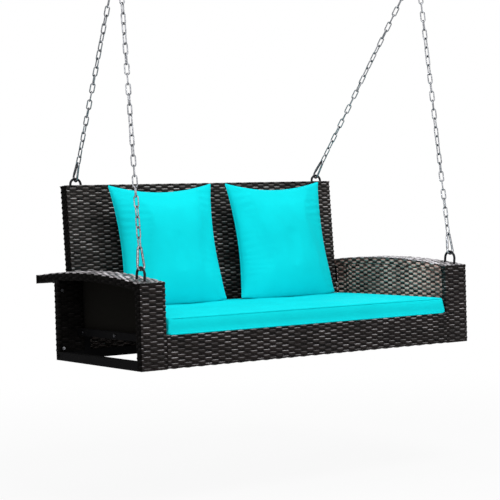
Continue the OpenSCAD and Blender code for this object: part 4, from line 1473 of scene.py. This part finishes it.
@dataclass
class Arm(WickerWork):
    """Woven arm: an arched top with a tail, a front column, a rear post and an inner panel.

    Attributes:
        side: which arm it is.
        corner: radius of the corners of its members.
        lap: how far the panel runs behind column and post.
        panel_bulge: how far the strands of the panel and the wing stand out.
        panel_middle: level of their middle.
        lining: how deep the dark lining lies behind them; the lining is a flat dark sheet, painted
            shade.
        lining_over: how far the lining stands over the panel before it is drawn down.
        tuck: how far a member runs on inside the arch.
        nick: gap that is left where two members meet.
        cuts: how often the core of the arch is cut along its length.
        wing_play: how far the wing runs on behind the post's node.
        wing_over: how far the wing stands over the post.
        wing_end: how far its lining ends before it.
        plate_lap: how far the wing laps over the bracket's plate.
        plate_run: length over which the plate's tilt is taken.
    """

    side: Side = Side.RIGHT
    corner: float = 0.005
    lap: float = 0.006
    panel_bulge: float = 0.0010
    panel_middle: float = -0.0006
    lining: float = 0.0026
    lining_over: float = 0.01
    tuck: float = 0.002
    nick: float = 0.001
    cuts: int = 19
    wing_play: float = 0.0112
    wing_over: float = 0.004
    wing_end: float = 0.0095
    plate_lap: float = 0.007
    plate_run: float = 0.04

    @property
    def middle(self) -> float:
        """X of the middle of the arm's members."""
        return (self.bench.arm_out + self.bench.arm_in) / 2

    @property
    def loop(self) -> RoundLoop:
        """Outline of the arm's members."""
        b = self.bench
        return RoundLoop((b.arm_out - b.arm_in) / 2, b.member / 2, self.corner)

    def build(self) -> None:
        """Makes the four skins of one arm, as a right-hand one, and turns them to its side."""
        for name, weave, node in (
            ("woven_arm_top", self.arch, "arm_top"),
            ("woven_column", self.column, "front_column"),
            ("woven_post", self.post, "rear_post"),
            ("woven_panel", self.panel, "inner_panel"),
        ):
            piece = self.finish_piece(f"{name}_{self.side.value}", weave(), [])
            if self.side is Side.LEFT:
                mirror(piece)
            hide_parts(f"{node}_{self.side.value}")

    def arch(self) -> list[bpy.types.Object]:
        """Strands that run along the arm's top, its outer side and its underside.

        Returns:
            The sheets of the arm's top.
        """
        b = self.bench
        gap = b.core_gap
        loop = self.loop
        centre_y, _ = b.arch_centre
        radius = b.arch_radius
        ends = math.asin((b.arm_length - centre_y) / radius) + math.asin(centre_y / radius)
        span = radius * ends

        def form(flat: np.ndarray) -> np.ndarray:
            """Bends the sheet round the section and along the arch."""
            spots = loop.over(flat[:, 1], flat[:, 2])
            return self.on_arch(np.column_stack([
                self.middle + spots[:, 0], flat[:, 0], spots[:, 1] - b.member / 2
            ]))

        def under_top(spots: np.ndarray) -> np.ndarray:
            """Faces of the arm's sides and underside; those not by the seat take the painted shade.
            """
            return b.arch_top(spots[:, 1]) - spots[:, 2] > b.edge

        def over_column(spots: np.ndarray) -> np.ndarray:
            """Faces in front of the column's rear face, except on the arm's top."""
            return (spots[:, 1] < b.member - self.nick) & under_top(spots)

        def painted_light_by_seat(spots: np.ndarray) -> np.ndarray:
            """Faces of the side that looks at the seat, which take the painted light."""
            return under_top(spots) & (spots[:, 0] < b.arm_in + b.edge)

        def tail(flat: np.ndarray) -> np.ndarray:
            """Stands the sheet on the arm's rear end."""
            return np.column_stack([
                b.arm_out - flat[:, 0],
                b.arm_length + flat[:, 2],
                b.arch_tail - b.member + flat[:, 1],
            ])

        return [
            # The arm's top takes the painted reflection, its other sides the painted shade and the
            # side by the seat the painted light.
            self.sheet(
                "arch_weave", span, loop.length, form, over_column, self.finishes.painted_reflection_wicker,
                [(self.finishes.shaded, under_top), (self.finishes.rubbed, painted_light_by_seat)],
            ),
            self.sheet("tail_weave", 2 * loop.half_a, b.member, tail),
            self.core(
                "arch_core",
                (b.arm_in + gap, gap, gap - b.member),
                (b.arm_out - gap, span - gap, -gap),
                self.on_arch,
                self.cuts,
            ),
        ]

    def column(self) -> list[bpy.types.Object]:
        """Strands round the front column, up to the arm's top at the front.

        Returns:
            The sheets of the column.
        """
        b = self.bench
        gap = b.core_gap
        top = b.arch_front - self.nick

        def inside_arch(spots: np.ndarray) -> np.ndarray:
            """Faces of the rear side that lie inside the arm's top."""
            under = b.arch_top(b.member) - b.member + self.tuck
            return (spots[:, 1] > b.member - self.lap) & (spots[:, 2] > under)

        def painted_shade_faces(spots: np.ndarray) -> np.ndarray:
            """Faces of the outer and rear sides, which take the painted shade."""
            return (spots[:, 0] > b.arm_out - b.edge) | (spots[:, 1] > b.member - b.edge)

        form = self.loop_up(self.loop, (self.middle, b.member / 2), 0)
        return [
            self.sheet(
                "column_weave", self.loop.length, top, form, inside_arch,
                others=[(self.finishes.shaded, painted_shade_faces)],
            ),
            self.core(
                "column_core",
                (b.arm_in + gap, gap, self.nick),
                (b.arm_out - gap, b.member - gap, top - b.edge),
            ),
        ]

    def post(self) -> list[bpy.types.Object]:
        """Strands round the rear post up to the arm's top, and the wing behind it.

        Returns:
            The sheets of the post.
        """
        b = self.bench
        gap = b.core_gap
        front = b.depth - b.member
        top = b.arch_top(b.depth) - b.member
        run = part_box("rear_post_right")[1].y - b.origin.y - b.depth + self.wing_play
        tall = top + self.wing_over - b.panel_low
        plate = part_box("back_bracket_right")[0] - b.origin
        tilt = (b.arch_top(plate.y) - b.arch_top(plate.y + self.plate_run)) / self.plate_run

        def wing(flat: np.ndarray) -> np.ndarray:
            """Stands the wing's sheet behind the post, looking at the seat."""
            return np.column_stack([
                b.arm_in - flat[:, 2], b.depth + run - flat[:, 0], b.panel_low + flat[:, 1]
            ])

        def by_plate(spots: np.ndarray) -> np.ndarray:
            """Faces that would lap more than the edge of the bracket's plate."""
            over = spots[:, 2] - plate.z
            edge = plate.y + self.plate_lap + np.maximum(over, 0) * tilt
            return (spots[:, 1] > edge) & (over > -b.edge)

        def painted_shade_faces(spots: np.ndarray) -> np.ndarray:
            """Faces of the outer and front sides, which take the painted shade."""
            return (spots[:, 0] > b.arm_out - b.edge) | (spots[:, 1] < front + b.edge)

        def painted_light_by_seat(spots: np.ndarray) -> np.ndarray:
            """Faces of the side that looks at the seat, which take the painted light."""
            return (spots[:, 0] < b.arm_in + b.skin) & (spots[:, 1] > front + b.skin)

        # Flat dark sheet behind the wing: painted shade.
        lining = self.core(
            "wing_lining",
            (b.arm_in + self.lining, front, b.panel_low),
            (b.arm_in + b.skin, b.depth + run - self.wing_end, b.panel_low + tall),
        )
        form = self.loop_up(self.loop, (self.middle, b.depth - b.member / 2), b.foot)
        return [
            # The wing takes the lighter copy of the wicker: painted light.
            self.sheet(
                "wing_weave", run, tall, wing, by_plate, self.finishes.rubbed,
                bulge=self.panel_bulge, middle=self.panel_middle,
            ),
            lining,
            self.sheet(
                "post_weave", self.loop.length, top - b.foot, form,
                others=[(self.finishes.shaded, painted_shade_faces), (self.finishes.rubbed, painted_light_by_seat)],
            ),
            self.core(
                "post_core",
                (b.arm_in + gap, front + gap, b.foot),
                (b.arm_out - gap, b.depth - gap, top),
            ),
        ]

    def panel(self) -> list[bpy.types.Object]:
        """Level strands across the arm's inner face, from the seat up to the arch.

        Returns:
            The sheet of the panel.
        """
        b = self.bench
        rear = b.depth - b.member + self.lap
        run = b.depth - 2 * b.member + 2 * self.lap
        tall = float(b.arch_top(b.arch_centre[0])) - b.member - b.panel_low

        def under_arch(y: np.ndarray) -> np.ndarray:
            """Height of the underside of the arch."""
            return b.arch_top(y) - b.member

        def form(flat: np.ndarray) -> np.ndarray:
            """Stands the sheet on the arm's inner face, looking at the seat."""
            return np.column_stack([
                b.arm_in - flat[:, 2], rear - flat[:, 0], b.panel_low + flat[:, 1]
            ])

        def over_arch(spots: np.ndarray) -> np.ndarray:
            """Faces above the underside of the arch."""
            return spots[:, 2] > under_arch(spots[:, 1]) + b.skin

        def lining(flat: np.ndarray) -> np.ndarray:
            """Draws the lining's upper edge down to the underside of the arch."""
            over = np.minimum(flat[:, 2], under_arch(flat[:, 1]) + self.tuck)
            return np.column_stack([flat[:, 0], flat[:, 1], over])

        return [
            # The panel takes the lighter copy of the wicker: painted light.
            self.sheet(
                "panel_weave", run, tall, form, over_arch, self.finishes.rubbed,
                bulge=self.panel_bulge, middle=self.panel_middle,
            ),
            # Flat dark sheet behind the panel: painted shade of the arm's recess.
            self.core(
                "panel_lining",
                (b.arm_in + self.lining, b.member - self.lap, b.panel_low),
                (b.arm_in + b.skin, rear, b.panel_low + tall + self.lining_over),
                lining,
                self.cuts,
            ),
        ]


# ---------- cushions ----------


def inflate(piece: bpy.types.Object, steps: int, cap: float, **settings: object) -> None:
    """Blows a closed cloth skin up, as filling does, and keeps the result in its mesh.

    Args:
        piece: the skin.
        steps: number of steps.
        cap: greatest distance that a point may move.
        settings: the pressure inside, and what else differs from the usual cloth.
    """
    before = points(piece)
    cloth = piece.modifiers.new("cloth", "CLOTH")
    usual = {
        "quality": 6,
        "mass": 0.3,
        "tension_stiffness": 15.0,
        "compression_stiffness": 15.0,
        "shear_stiffness": 5.0,
        "use_pressure": True,
    }
    for key, value in (usual | settings).items():
        setattr(cloth.settings, key, value)
    cloth.settings.effector_weights.gravity = 0.0
    cloth.point_cache.frame_start = 1
    cloth.point_cache.frame_end = steps
    scene = bpy.context.scene
    for frame in range(1, steps + 1):
        scene.frame_set(frame)
    apply_modifiers(piece)
    scene.frame_set(1)
    moved = points(piece) - before
    length = np.linalg.norm(moved, axis=1, keepdims=True)
    set_points(piece, before + moved * np.minimum(1.0, cap / np.maximum(length, 1e-9)))


def box_map(piece: bpy.types.Object) -> None:
    """Gives a mesh a flat map in metres, along the two axes that each face looks across.

    Args:
        piece: a mesh object.
    """
    mesh = piece.data
    axis = np.argmax(np.abs(read(mesh.polygons, "normal", 3)), axis=1)
    face_axis = np.repeat(axis, read(mesh.polygons, "loop_total"))
    u = np.where(face_axis == 0, 1, 0)
    v = np.where(face_axis == 2, 1, 2)
    at = points(piece)[read(mesh.loops, "vertex_index")]
    rows = np.arange(len(at))
    store_map(piece, np.column_stack([at[rows, u], at[rows, v]]))


def in_order(spots: np.ndarray, chosen: np.ndarray, middle: Sequence[float]) -> np.ndarray:
    """Puts the points of a ring in order round its middle.

    Args:
        spots: all points, in the two coordinates that the ring lies along.
        chosen: one true or false per point.
        middle: the middle of the ring.

    Returns:
        Indices of the chosen points.
    """
    on = np.nonzero(chosen)[0]
    return on[np.argsort(np.arctan2(spots[on, 1] - middle[1], spots[on, 0] - middle[0]))]


def seam_cord(
    name: str, path: np.ndarray, radius: float, material: bpy.types.Material
) -> bpy.types.Object:
    """Makes a closed round cord along a seam.

    Args:
        name: name of the piece.
        path: points along the seam.
        radius: half its thickness.
        material: its finish.

    Returns:
        The cord, as a mesh.
    """
    curve = bpy.data.curves.new(name, "CURVE")
    curve.dimensions = "3D"
    curve.bevel_depth = radius
    curve.bevel_resolution = 3
    curve.use_fill_caps = False
    spline = curve.splines.new("POLY")
    spline.points.add(len(path) - 1)
    spline.points.foreach_set("co", np.column_stack([path, np.ones(len(path))]).ravel())
    spline.use_cyclic_u = True
    pick(hold(curve))
    bpy.ops.object.convert(target="MESH")
    cord = bpy.context.object
    dress(cord, material)
    smooth(cord)
    return cord


@dataclass
class Filled:
    """What cushion and pillows share: cloth, a soft round skin and corded seams."""

    bench: Bench
    finishes: Finishes

    def round_off(self, skin: bpy.types.Object) -> None:
        """Rounds a filled skin.

        Args:
            skin: the filled skin.
        """
        body = skin.modifiers.new("round", "SUBSURF")
        body.levels = body.render_levels = 1
        apply_modifiers(skin)

    def sew(self, skin: bpy.types.Object, seams: dict[str, np.ndarray], radius: float) -> None:
        """Dresses a skin, adds the cords of its seams and sets them all on the swing's body.

        Args:
            skin: the round skin.
            seams: path of each seam, by the name of its cord.
            radius: half the thickness of a cord.
        """
        smooth(skin)
        dress(skin, self.finishes.cloth)
        cords = [
            seam_cord(name, path, radius, self.finishes.cloth) for name, path in seams.items()
        ]
        for piece in (skin, *cords):
            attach(piece, Body.SWING.value)
        log.info("%s: %d faces", skin.name, len(skin.data.polygons))


@dataclass
class SeatCushion(Filled):
    """Boxed seat cushion with a corded seam round its top and bottom edges.

    Attributes:
        cell: size of the squares that its cloth is modelled in.
        layers: number of squares up its sides.
        corner: radius of its upright corners.
        thick: height of its upper seam over its lower one.
        crown: how far the middle of its top stands over the seam.
        swell_share: how far its top keeps what the filling raised.
        ripple: height of the soft waves on its top.
        inset: how much smaller it is on every side before it is filled.
        lift: how far its underside lies over the deck before it is filled.
        side_play: gap to each arm.
        front_play: how far its front lies behind the apron's face.
        front_hang: how far its front edge hangs over the apron.
        front_reach: how far its front swells forward.
        front_run: how far back both of these fade away.
        front_high: how far up the hanging fades away.
        cord_radius: half the thickness of the cords.
    """

    cell: float = 0.0125
    layers: int = 4
    corner: float = 0.009
    thick: float = 0.049
    crown: float = 0.009
    swell_share: float = 0.3
    ripple: float = 0.0011
    inset: float = 0.004
    lift: float = 0.001
    side_play: float = 0.0008
    front_play: float = 0.001
    front_hang: float = 0.002
    front_reach: float = 0.009
    front_run: float = 0.016
    front_high: float = 0.03
    cord_radius: float = 0.0026

    def build(self) -> None:
        """Makes the cushion and its two cords."""
        low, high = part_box("seat_cushion")
        low.x, high.x = self.side_play - self.bench.arm_in, self.bench.arm_in - self.side_play
        low.y = self.bench.origin.y + self.front_play
        skin = self._skin(
            Vector((low.x + self.inset, low.y + self.inset, low.z + self.lift)),
            Vector((high.x - self.inset, high.y - self.inset, low.z + self.thick)),
        )
        rings = self._seams(skin)
        inflate(
            skin, steps=14, cap=0.008,
            uniform_pressure_force=3.0, bending_stiffness=0.5, vertex_group_mass="rest",
        )
        self._shape(skin, low, high, rings[0])
        box_map(skin)
        self.round_off(skin)
        names = ("seat_seam_top", "seat_seam_bottom")
        paths = [self._even(points(skin)[ring]) for ring in rings]
        self.sew(skin, dict(zip(names, paths)), self.cord_radius)
        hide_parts("seat_cushion")

    def _skin(self, low: Vector, high: Vector) -> bpy.types.Object:
        """Models the box of cloth, with round corners, in squares of one size.

        Args:
            low: lowest corner.
            high: highest corner.

        Returns:
            The skin, with a vertex group of the points that rest on the deck.
        """
        size = high - low
        across, along = (max(2, round(length / self.cell)) for length in size[:2])
        cells = (across, along, self.layers)
        middle = (low + high) / 2
        sheets = [
            self._side(middle, size, cells, axis, sign) for sign in (-1, 1) for axis in (2, 1, 0)
        ]
        skin = join("soft_seat_cushion", sheets)
        close_up(skin, 1e-5)
        rest = skin.vertex_groups.new(name="rest")
        on_deck = np.nonzero(np.abs(points(skin)[:, 2] - low.z) < NEAR)[0]
        rest.add([int(index) for index in on_deck], 1.0, "REPLACE")
        self._round_corners(skin, low, high)
        return skin

    def _side(
        self, middle: Vector, size: Vector, cells: Sequence[int], axis: int, sign: int
    ) -> bpy.types.Object:
        """Adds one of the six sides of the box.

        Args:
            middle: the box's centre.
            size: the box's size.
            cells: number of squares along each axis.
            axis: the axis that the side stands across.
            sign: which end of that axis.

        Returns:
            The side, as a grid.
        """
        u, v = [i for i in range(3) if i != axis]
        side = add_grid("side", (size[u], size[v]), (cells[u], cells[v]), (0, 0, 0))
        flat = points(side)
        spots = np.zeros_like(flat)
        spots[:, u] = flat[:, 0] + middle[u]
        spots[:, v] = flat[:, 1] + middle[v]
        spots[:, axis] = middle[axis] + sign * size[axis] / 2
        set_points(side, spots)
        return side

    def _round_corners(self, skin: bpy.types.Object, low: Vector, high: Vector) -> None:
        """Rounds the box's four upright corners.

        Args:
            skin: the box.
            low: lowest corner.
            high: highest corner.
        """
        spots = points(skin)
        middle = np.array(((low + high) / 2)[:2])
        straight = np.array(((high - low) / 2)[:2]) - self.corner
        flat = spots[:, :2] - middle
        over = np.maximum(np.abs(flat) - straight, 0)
        reach = np.linalg.norm(over, axis=1)
        shrink = np.where(reach > 1e-9, np.max(over, axis=1) / np.maximum(reach, 1e-9), 1.0)
        inner = np.minimum(np.abs(flat), straight)
        spots[:, :2] = middle + np.sign(flat) * (inner + over * shrink[:, None])
        set_points(skin, spots)

    def _seams(self, skin: bpy.types.Object) -> list[np.ndarray]:
        """Finds the edges of the top and bottom, in order round the cushion.

        Args:
            skin: the box before it is filled.

        Returns:
            Indices of the top edge and of the bottom edge.
        """
        spots = points(skin)
        low, high = spots.min(0), spots.max(0)
        level_faces = np.abs(read(skin.data.polygons, "normal", 3)[:, 2]) > 0.9
        in_level, in_side = np.zeros(len(spots), bool), np.zeros(len(spots), bool)
        for polygon, is_level in zip(skin.data.polygons, level_faces):
            (in_level if is_level else in_side)[list(polygon.vertices)] = True
        return [
            in_order(
                spots, in_level & in_side & (np.abs(spots[:, 2] - z) < NEAR), (low + high) / 2
            )
            for z in (high[2], low[2])
        ]

    def _shape(
        self, skin: bpy.types.Object, low: Vector, high: Vector, seam: np.ndarray
    ) -> None:
        """Crowns the top, levels its seam and lets the front hang a little over the apron.

        Args:
            skin: the filled cushion.
            low: lowest corner of its space.
            high: highest corner of its space.
            seam: points of the top seam.
        """
        spots = points(skin)
        for axis in range(2):
            least, most = spots[:, axis].min(), spots[:, axis].max()
            stretch = (high[axis] - low[axis]) / (most - least)
            spots[:, axis] = low[axis] + (spots[:, axis] - least) * stretch
        middle, half = np.array(((low + high) / 2)[:2]), np.array(((high - low) / 2)[:2])
        part = np.abs(np.clip((spots[:, :2] - middle) / half, -1, 1))
        dome = (1 - part[:, 0] ** 6) * (1 - part[:, 1] ** 4)
        seam_z = low.z + self.thick
        side = spots[:, 2] <= spots[seam, 2].mean() + NEAR
        spots[seam, 2] = seam_z
        swell = np.maximum(spots[:, 2] - seam_z, 0) * self.swell_share
        waves = np.sin(spots[:, 0] * 31 + 1.3) * np.sin(spots[:, 1] * 17 + 0.4)
        rise = np.minimum(swell + self.crown * dome, high.z - seam_z)
        top = seam_z + rise + self.ripple * waves * dome
        spots[:, 2] = np.where(side, np.minimum(spots[:, 2], seam_z), top)
        front = np.clip(1 - (spots[:, 1] - low.y) / self.front_run, 0, 1)
        foot = np.clip(1 - (spots[:, 2] - low.z) / self.front_high, 0, 1)
        spots[:, 2] -= self.front_hang * front * foot
        height = np.clip((spots[:, 2] - low.z) / self.thick, 0, 1)
        bulge = np.sin(height * math.pi) * 0.75 + 0.25
        spots[:, 1] -= self.front_reach * front * bulge
        set_points(skin, spots)

    @staticmethod
    def _even(path: np.ndarray) -> np.ndarray:
        """Evens a closed path by the mean of neighbours.

        Args:
            path: its points.

        Returns:
            As many points, on the evened path.
        """
        for _ in range(2):
            path = (np.roll(path, 1, 0) + 2 * path + np.roll(path, -1, 0)) / 4
        return path


@dataclass
class BackPillow(Filled):
    """Filled pillow that stands on the seat and leans on the backrest.

    Two sheets are sewn at their edges. The upper edge sags between its corners, the lower edge is
    pressed flat on the seat, and the seams at the sides gather the cloth.

    Attributes:
        side: which pillow it is.
        size: width and height.
        thick: thickness.
        cells: squares along and up each sheet.
        lean: how far it leans back.
        top_sag: how far the middle of its upper edge sags.
        side_pull: how far the middles of its sides are drawn in.
        upper_edge: how full it is towards its upper edge, as a power.
        lower_edge: how full it is towards its lower edge.
        side_edge: how full it is towards its sides.
        gathers: depth of the folds at its sides.
        gather_pitch: how far apart they are.
        gather_reach: how far in from a side they run.
        seat_sink: how far it may sink under its node.
        seat_slump: how far its lower edge spreads down onto the seat.
        slump_high: how far up that reaches.
        slump_wide: how far from its middle sheet that is full.
        cord_radius: half the thickness of the cord.
    """

    side: Side
    size: float = 0.400
    thick: float = 0.156
    cells: int = 56
    lean: float = math.radians(12.0)
    top_sag: float = 0.035
    side_pull: float = 0.026
    upper_edge: float = 2.4
    lower_edge: float = 4.5
    side_edge: float = 2.3
    gathers: float = 0.0028
    gather_pitch: float = 0.021
    gather_reach: float = 0.036
    seat_sink: float = 0.008
    seat_slump: float = 0.028
    slump_high: float = 0.07
    slump_wide: float = 0.03
    cord_radius: float = 0.0014

    def build(self) -> None:
        """Makes the pillow and the cord of its seam."""
        node = f"back_pillow_{self.side.value}"
        skin = self._skin(f"soft_pillow_{self.side.value}")
        spots = points(skin)
        rim = in_order(spots[:, ::2], np.abs(spots[:, 1]) < 1e-7, (0, self.size / 2))
        inflate(
            skin, steps=10, cap=0.010, uniform_pressure_force=2.0, bending_stiffness=4.0
        )
        box_map(skin)
        self._stand(skin, *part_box(node))
        self.round_off(skin)
        seams = {f"pillow_seam_{self.side.value}": points(skin)[rim]}
        self.sew(skin, seams, self.cord_radius)
        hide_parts(node)

    def _skin(self, name: str) -> bpy.types.Object:
        """Models the two sheets, sewn round their edges and partly filled.

        Args:
            name: name of the piece.

        Returns:
            The pillow, standing upright on the origin, with its front towards -Y.
        """
        sheets = []
        for sign in (-1, 1):
            sheet = add_grid(name, (2, 2), (self.cells, self.cells), (0, 0, 0))
            set_points(sheet, self._form(points(sheet)[:, 0], points(sheet)[:, 1], sign))
            sheets.append(sheet)
        skin = join(name, sheets)
        close_up(skin, 1e-6)
        return skin

    def _form(self, u: np.ndarray, v: np.ndarray, sign: int) -> np.ndarray:
        """Finds the shape of one sheet.

        Args:
            u: place across the sheet, from -1 to 1.
            v: place up the sheet, from -1 to 1.
            sign: -1 for the front sheet and 1 for the rear one.

        Returns:
            The sheet's points.
        """
        half = self.size / 2
        rise = (v + 1) / 2
        x = u * (half - self.side_pull * (1 - v**2))
        z = half + v * half - self.top_sag * (1 - u**2) * rise**2.5
        steep = np.where(v > 0, self.upper_edge, self.lower_edge)
        across = np.clip(1 - np.abs(u) ** self.side_edge, 0, None) ** 0.62
        upward = np.clip(1 - np.abs(v) ** steep, 0, None) ** 0.5
        swell = self.thick / 2 * across * upward * (1.06 - 0.12 * rise)
        near = np.exp(-half * (1 - np.abs(u)) / self.gather_reach) * (1 - np.abs(v) ** 6)
        phase = 2 * math.pi * (z + 0.006 * np.sin(z * 41 + 5 * u)) / self.gather_pitch
        depth = self.gathers * near * np.sin(phase + sign) * (0.6 + 0.4 * np.sin(z * 23 + 2 * u))
        on_rim = np.maximum(np.abs(u), np.abs(v)) > 1 - NEAR
        y = np.where(on_rim, 0.0, sign * (swell + depth))
        return np.column_stack([x, y, z])

    def _stand(self, skin: bpy.types.Object, low: Vector, high: Vector) -> None:
        """Leans the pillow back on its lower edge and presses it flat on the seat.

        Args:
            skin: the filled pillow.
            low: lowest corner of its space.
            high: highest corner of its space.
        """
        if self.side is Side.LEFT:
            mirror(skin)
        spots = points(skin)
        sin, cos = math.sin(self.lean), math.cos(self.lean)
        base_y = (low.y + high.y) / 2 - self.size / 2 * sin
        slump = np.clip(1 - spots[:, 2] / self.slump_high, 0, 1) ** 1.2
        slump *= np.clip(np.abs(spots[:, 1]) / self.slump_wide, 0, 1)
        z = low.z - spots[:, 1] * sin + spots[:, 2] * cos - self.seat_slump * slump
        set_points(skin, np.column_stack([
            (low.x + high.x) / 2 + spots[:, 0],
            base_y + spots[:, 1] * cos + spots[:, 2] * sin,
            np.maximum(z, low.z - self.seat_sink),
        ]))


# ---------- metalwork ----------


@dataclass
class Metalwork:
    """Tubes, brackets, chains, hooks and fasteners: nodes that keep their own meshes."""

    nodes: dict[str, bpy.types.Object]
    finishes: Finishes

    FRAME = (
        "arm_frame", "seat_bearer", "bottom_rail", "rear_rail", "rear_struts", "seat_rail",
        "seat_bars", "apron_frame", "back_frame", "back_bracket", "rail_bolts", "back_bolts",
    )
    EYES = ("eye_front", "eye_rear")
    ZINC = (
        "ceiling_", "hanging_ring", "chain_", "snap_hook", "hook_gate", "gate_pins", "eye_washers",
        "eye_nuts", "arm_bolts", "post_bolts", "post_nuts", "bracket_bolts",
    )

    def build(self) -> None:
        """Gives every node its finish."""
        for name, node in self.nodes.items():
            if name.startswith(self.FRAME):
                dress(node, self.finishes.frame)
            elif name.startswith(self.EYES):
                dress(node, self.finishes.eye)
            elif name.startswith(self.ZINC):
                dress(node, self.finishes.zinc)
            else:
                dress(node, self.finishes.wicker)


# ---------- room ----------


@dataclass
class Studio:
    """Pale floor, soft lights and the camera.

    Attributes:
        bench: sizes of the bench.
        eye: place of the camera, in the bench's frame.
        yaw: how far it is turned about the upright.
        pitch: how far it looks down.
        roll: how far it is turned about its own line of sight.
        lens: its focal length in millimetres.
        floor_drop: how far the floor lies under the bench.
        ambient: strength of the room's own light, where white is 1.
    """

    bench: Bench
    eye: tuple[float, float, float] = (-2.8707, -3.8743, 0.4686)
    yaw: float = math.radians(-34.16)
    pitch: float = math.radians(1.57)
    roll: float = math.radians(-1.60)
    lens: float = 110.9
    floor_drop: float = 0.42
    ambient: float = 0.38

    def build(self) -> None:
        """Sets up the whole room."""
        self.camera()
        self.floor()
        self.lights()
        self.surroundings()
        bpy.context.scene.view_settings.view_transform = "Standard"

    def camera(self) -> None:
        """Adds the camera at its viewing angle."""
        camera = bpy.data.cameras.new("camera")
        camera.lens = self.lens
        camera.sensor_width = 36.0
        camera.clip_end = 100.0
        cos = math.cos(self.pitch)
        back = Vector((math.sin(self.yaw) * cos, -math.cos(self.yaw) * cos, math.sin(self.pitch)))
        right = (-back).cross(Vector((0, 0, 1))).normalized()
        up = right.cross(-back)
        turned_right = right * math.cos(self.roll) + up * math.sin(self.roll)
        turned_up = -right * math.sin(self.roll) + up * math.cos(self.roll)
        matrix = Matrix((turned_right, turned_up, back)).transposed().to_4x4()
        matrix.translation = Vector(self.eye) + self.bench.origin
        holder = hold(camera)
        holder.matrix_world = matrix
        bpy.context.scene.camera = holder

    def floor(self) -> None:
        """Adds the floor, which turns white far from the bench and keeps its shadow near it."""
        level = self.bench.origin.z - self.floor_drop
        floor = add_grid("floor", (60, 60), (4, 4), (0, 0, level))
        material, tree, shader = new_material("pale_floor")
        place = tree.add("ShaderNodeTexCoord").outputs["Object"]
        tone = tree.mix(tree.noise(place, 1.5, 3.0), (0.62, 0.62, 0.62), (0.66, 0.66, 0.66))
        tree.fill(shader, {"Base Color": tone, "Roughness": 0.9, "Specular IOR Level": 0.1})
        flat = tree.add("ShaderNodeVectorMath", {0: place, 1: (1, 1, 0)}, operation="MULTIPLY")
        reach = tree.add("ShaderNodeVectorMath", {0: flat.outputs[0]}, operation="LENGTH")
        fade = tree.spread(reach.outputs["Value"], 0.8, 3.5, 0.92, 1.0)
        rays = tree.add("ShaderNodeLightPath").outputs
        seen = tree.maths("ADD", rays["Is Camera Ray"], rays["Is Glossy Ray"], clamp=True)
        pale = tree.add("ShaderNodeEmission", {"Color": (1, 1, 1), "Strength": 1.0})
        both = {0: tree.times(fade, seen), 1: shader.outputs[0], 2: pale.outputs[0]}
        blend = tree.add("ShaderNodeMixShader", both)
        tree.fill(tree.tree.nodes["Material Output"], {"Surface": blend.outputs[0]})
        dress(floor, material)

    def lights(self) -> None:
        """Adds four soft discs round the seat, and a spot on the inside of the right arm."""
        origin = self.bench.origin
        seat = origin + Vector((0, 0.3, 0.3))
        for name, offset, size, power in (
            ("key_light", (0.0, -1.7, 2.7), 1.3, 52.0),
            ("side_light", (-1.5, -2.2, 1.2), 0.8, 16.0),
            ("top_light", (0.2, 0.3, 2.9), 1.6, 20.0),
            ("rear_light", (2.6, 3.9, 1.3), 2.2, 40.0),
        ):
            place = seat + Vector(offset)
            disc = self._lamp(name, "AREA", place, seat, energy=power, shape="DISK", size=size)
            disc.visible_camera = False
        self._lamp(
            "inner_light", "SPOT", origin + Vector((-1.1, -1.3, 0.75)),
            origin + Vector((0.54, 0.07, 0.27)),
            energy=150.0, spot_size=math.radians(9.5), spot_blend=1.0, shadow_soft_size=0.2,
        )

    def _lamp(
        self, name: str, kind: str, place: Vector, aim: Vector, **settings: object
    ) -> bpy.types.Object:
        """Adds a lamp that looks at a point.

        Args:
            name: its name.
            kind: its type.
            place: where it stands.
            aim: the point.
            settings: its power and its other properties.

        Returns:
            The lamp's object.
        """
        lamp = bpy.data.lights.new(name, kind)
        for key, value in settings.items():
            setattr(lamp, key, value)
        holder = hold(lamp)
        holder.location = place
        holder.rotation_euler = (aim - place).to_track_quat("-Z", "Y").to_euler()
        return holder

    def surroundings(self) -> None:
        """Adds the pale room: white where it is seen, and dimmer as light."""
        world = bpy.data.worlds.new("pale_room")
        world.use_nodes = True
        tree = Tree(world.node_tree)
        rays = tree.add("ShaderNodeLightPath").outputs
        seen = tree.maths("ADD", rays["Is Camera Ray"], rays["Is Glossy Ray"])
        seen = tree.maths("ADD", seen, rays["Is Transmission Ray"], clamp=True)
        strength = tree.maths("MULTIPLY_ADD", seen, 1 - self.ambient, self.ambient)
        background = world.node_tree.nodes["Background"]
        tree.fill(background, {"Color": (1, 1, 1), "Strength": strength})
        bpy.context.scene.world = world


def main() -> None:
    """Builds the looks of the swing seat around its construction model."""
    logging.basicConfig(level=logging.INFO, format="%(name)s: %(message)s")
    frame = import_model()
    bench = Bench.from_frame()
    Studio(bench).build()
    finishes = Finishes()
    Metalwork(frame["nodes"], finishes).build()
    Backrest(bench, finishes).build()
    SeatWicker(bench, finishes).build()
    for side in Side:
        Arm(bench, finishes, side).build()
    SeatCushion(bench, finishes).build()
    for side in Side:
        BackPillow(bench, finishes, side).build()


if __name__ == "__main__":
    main()
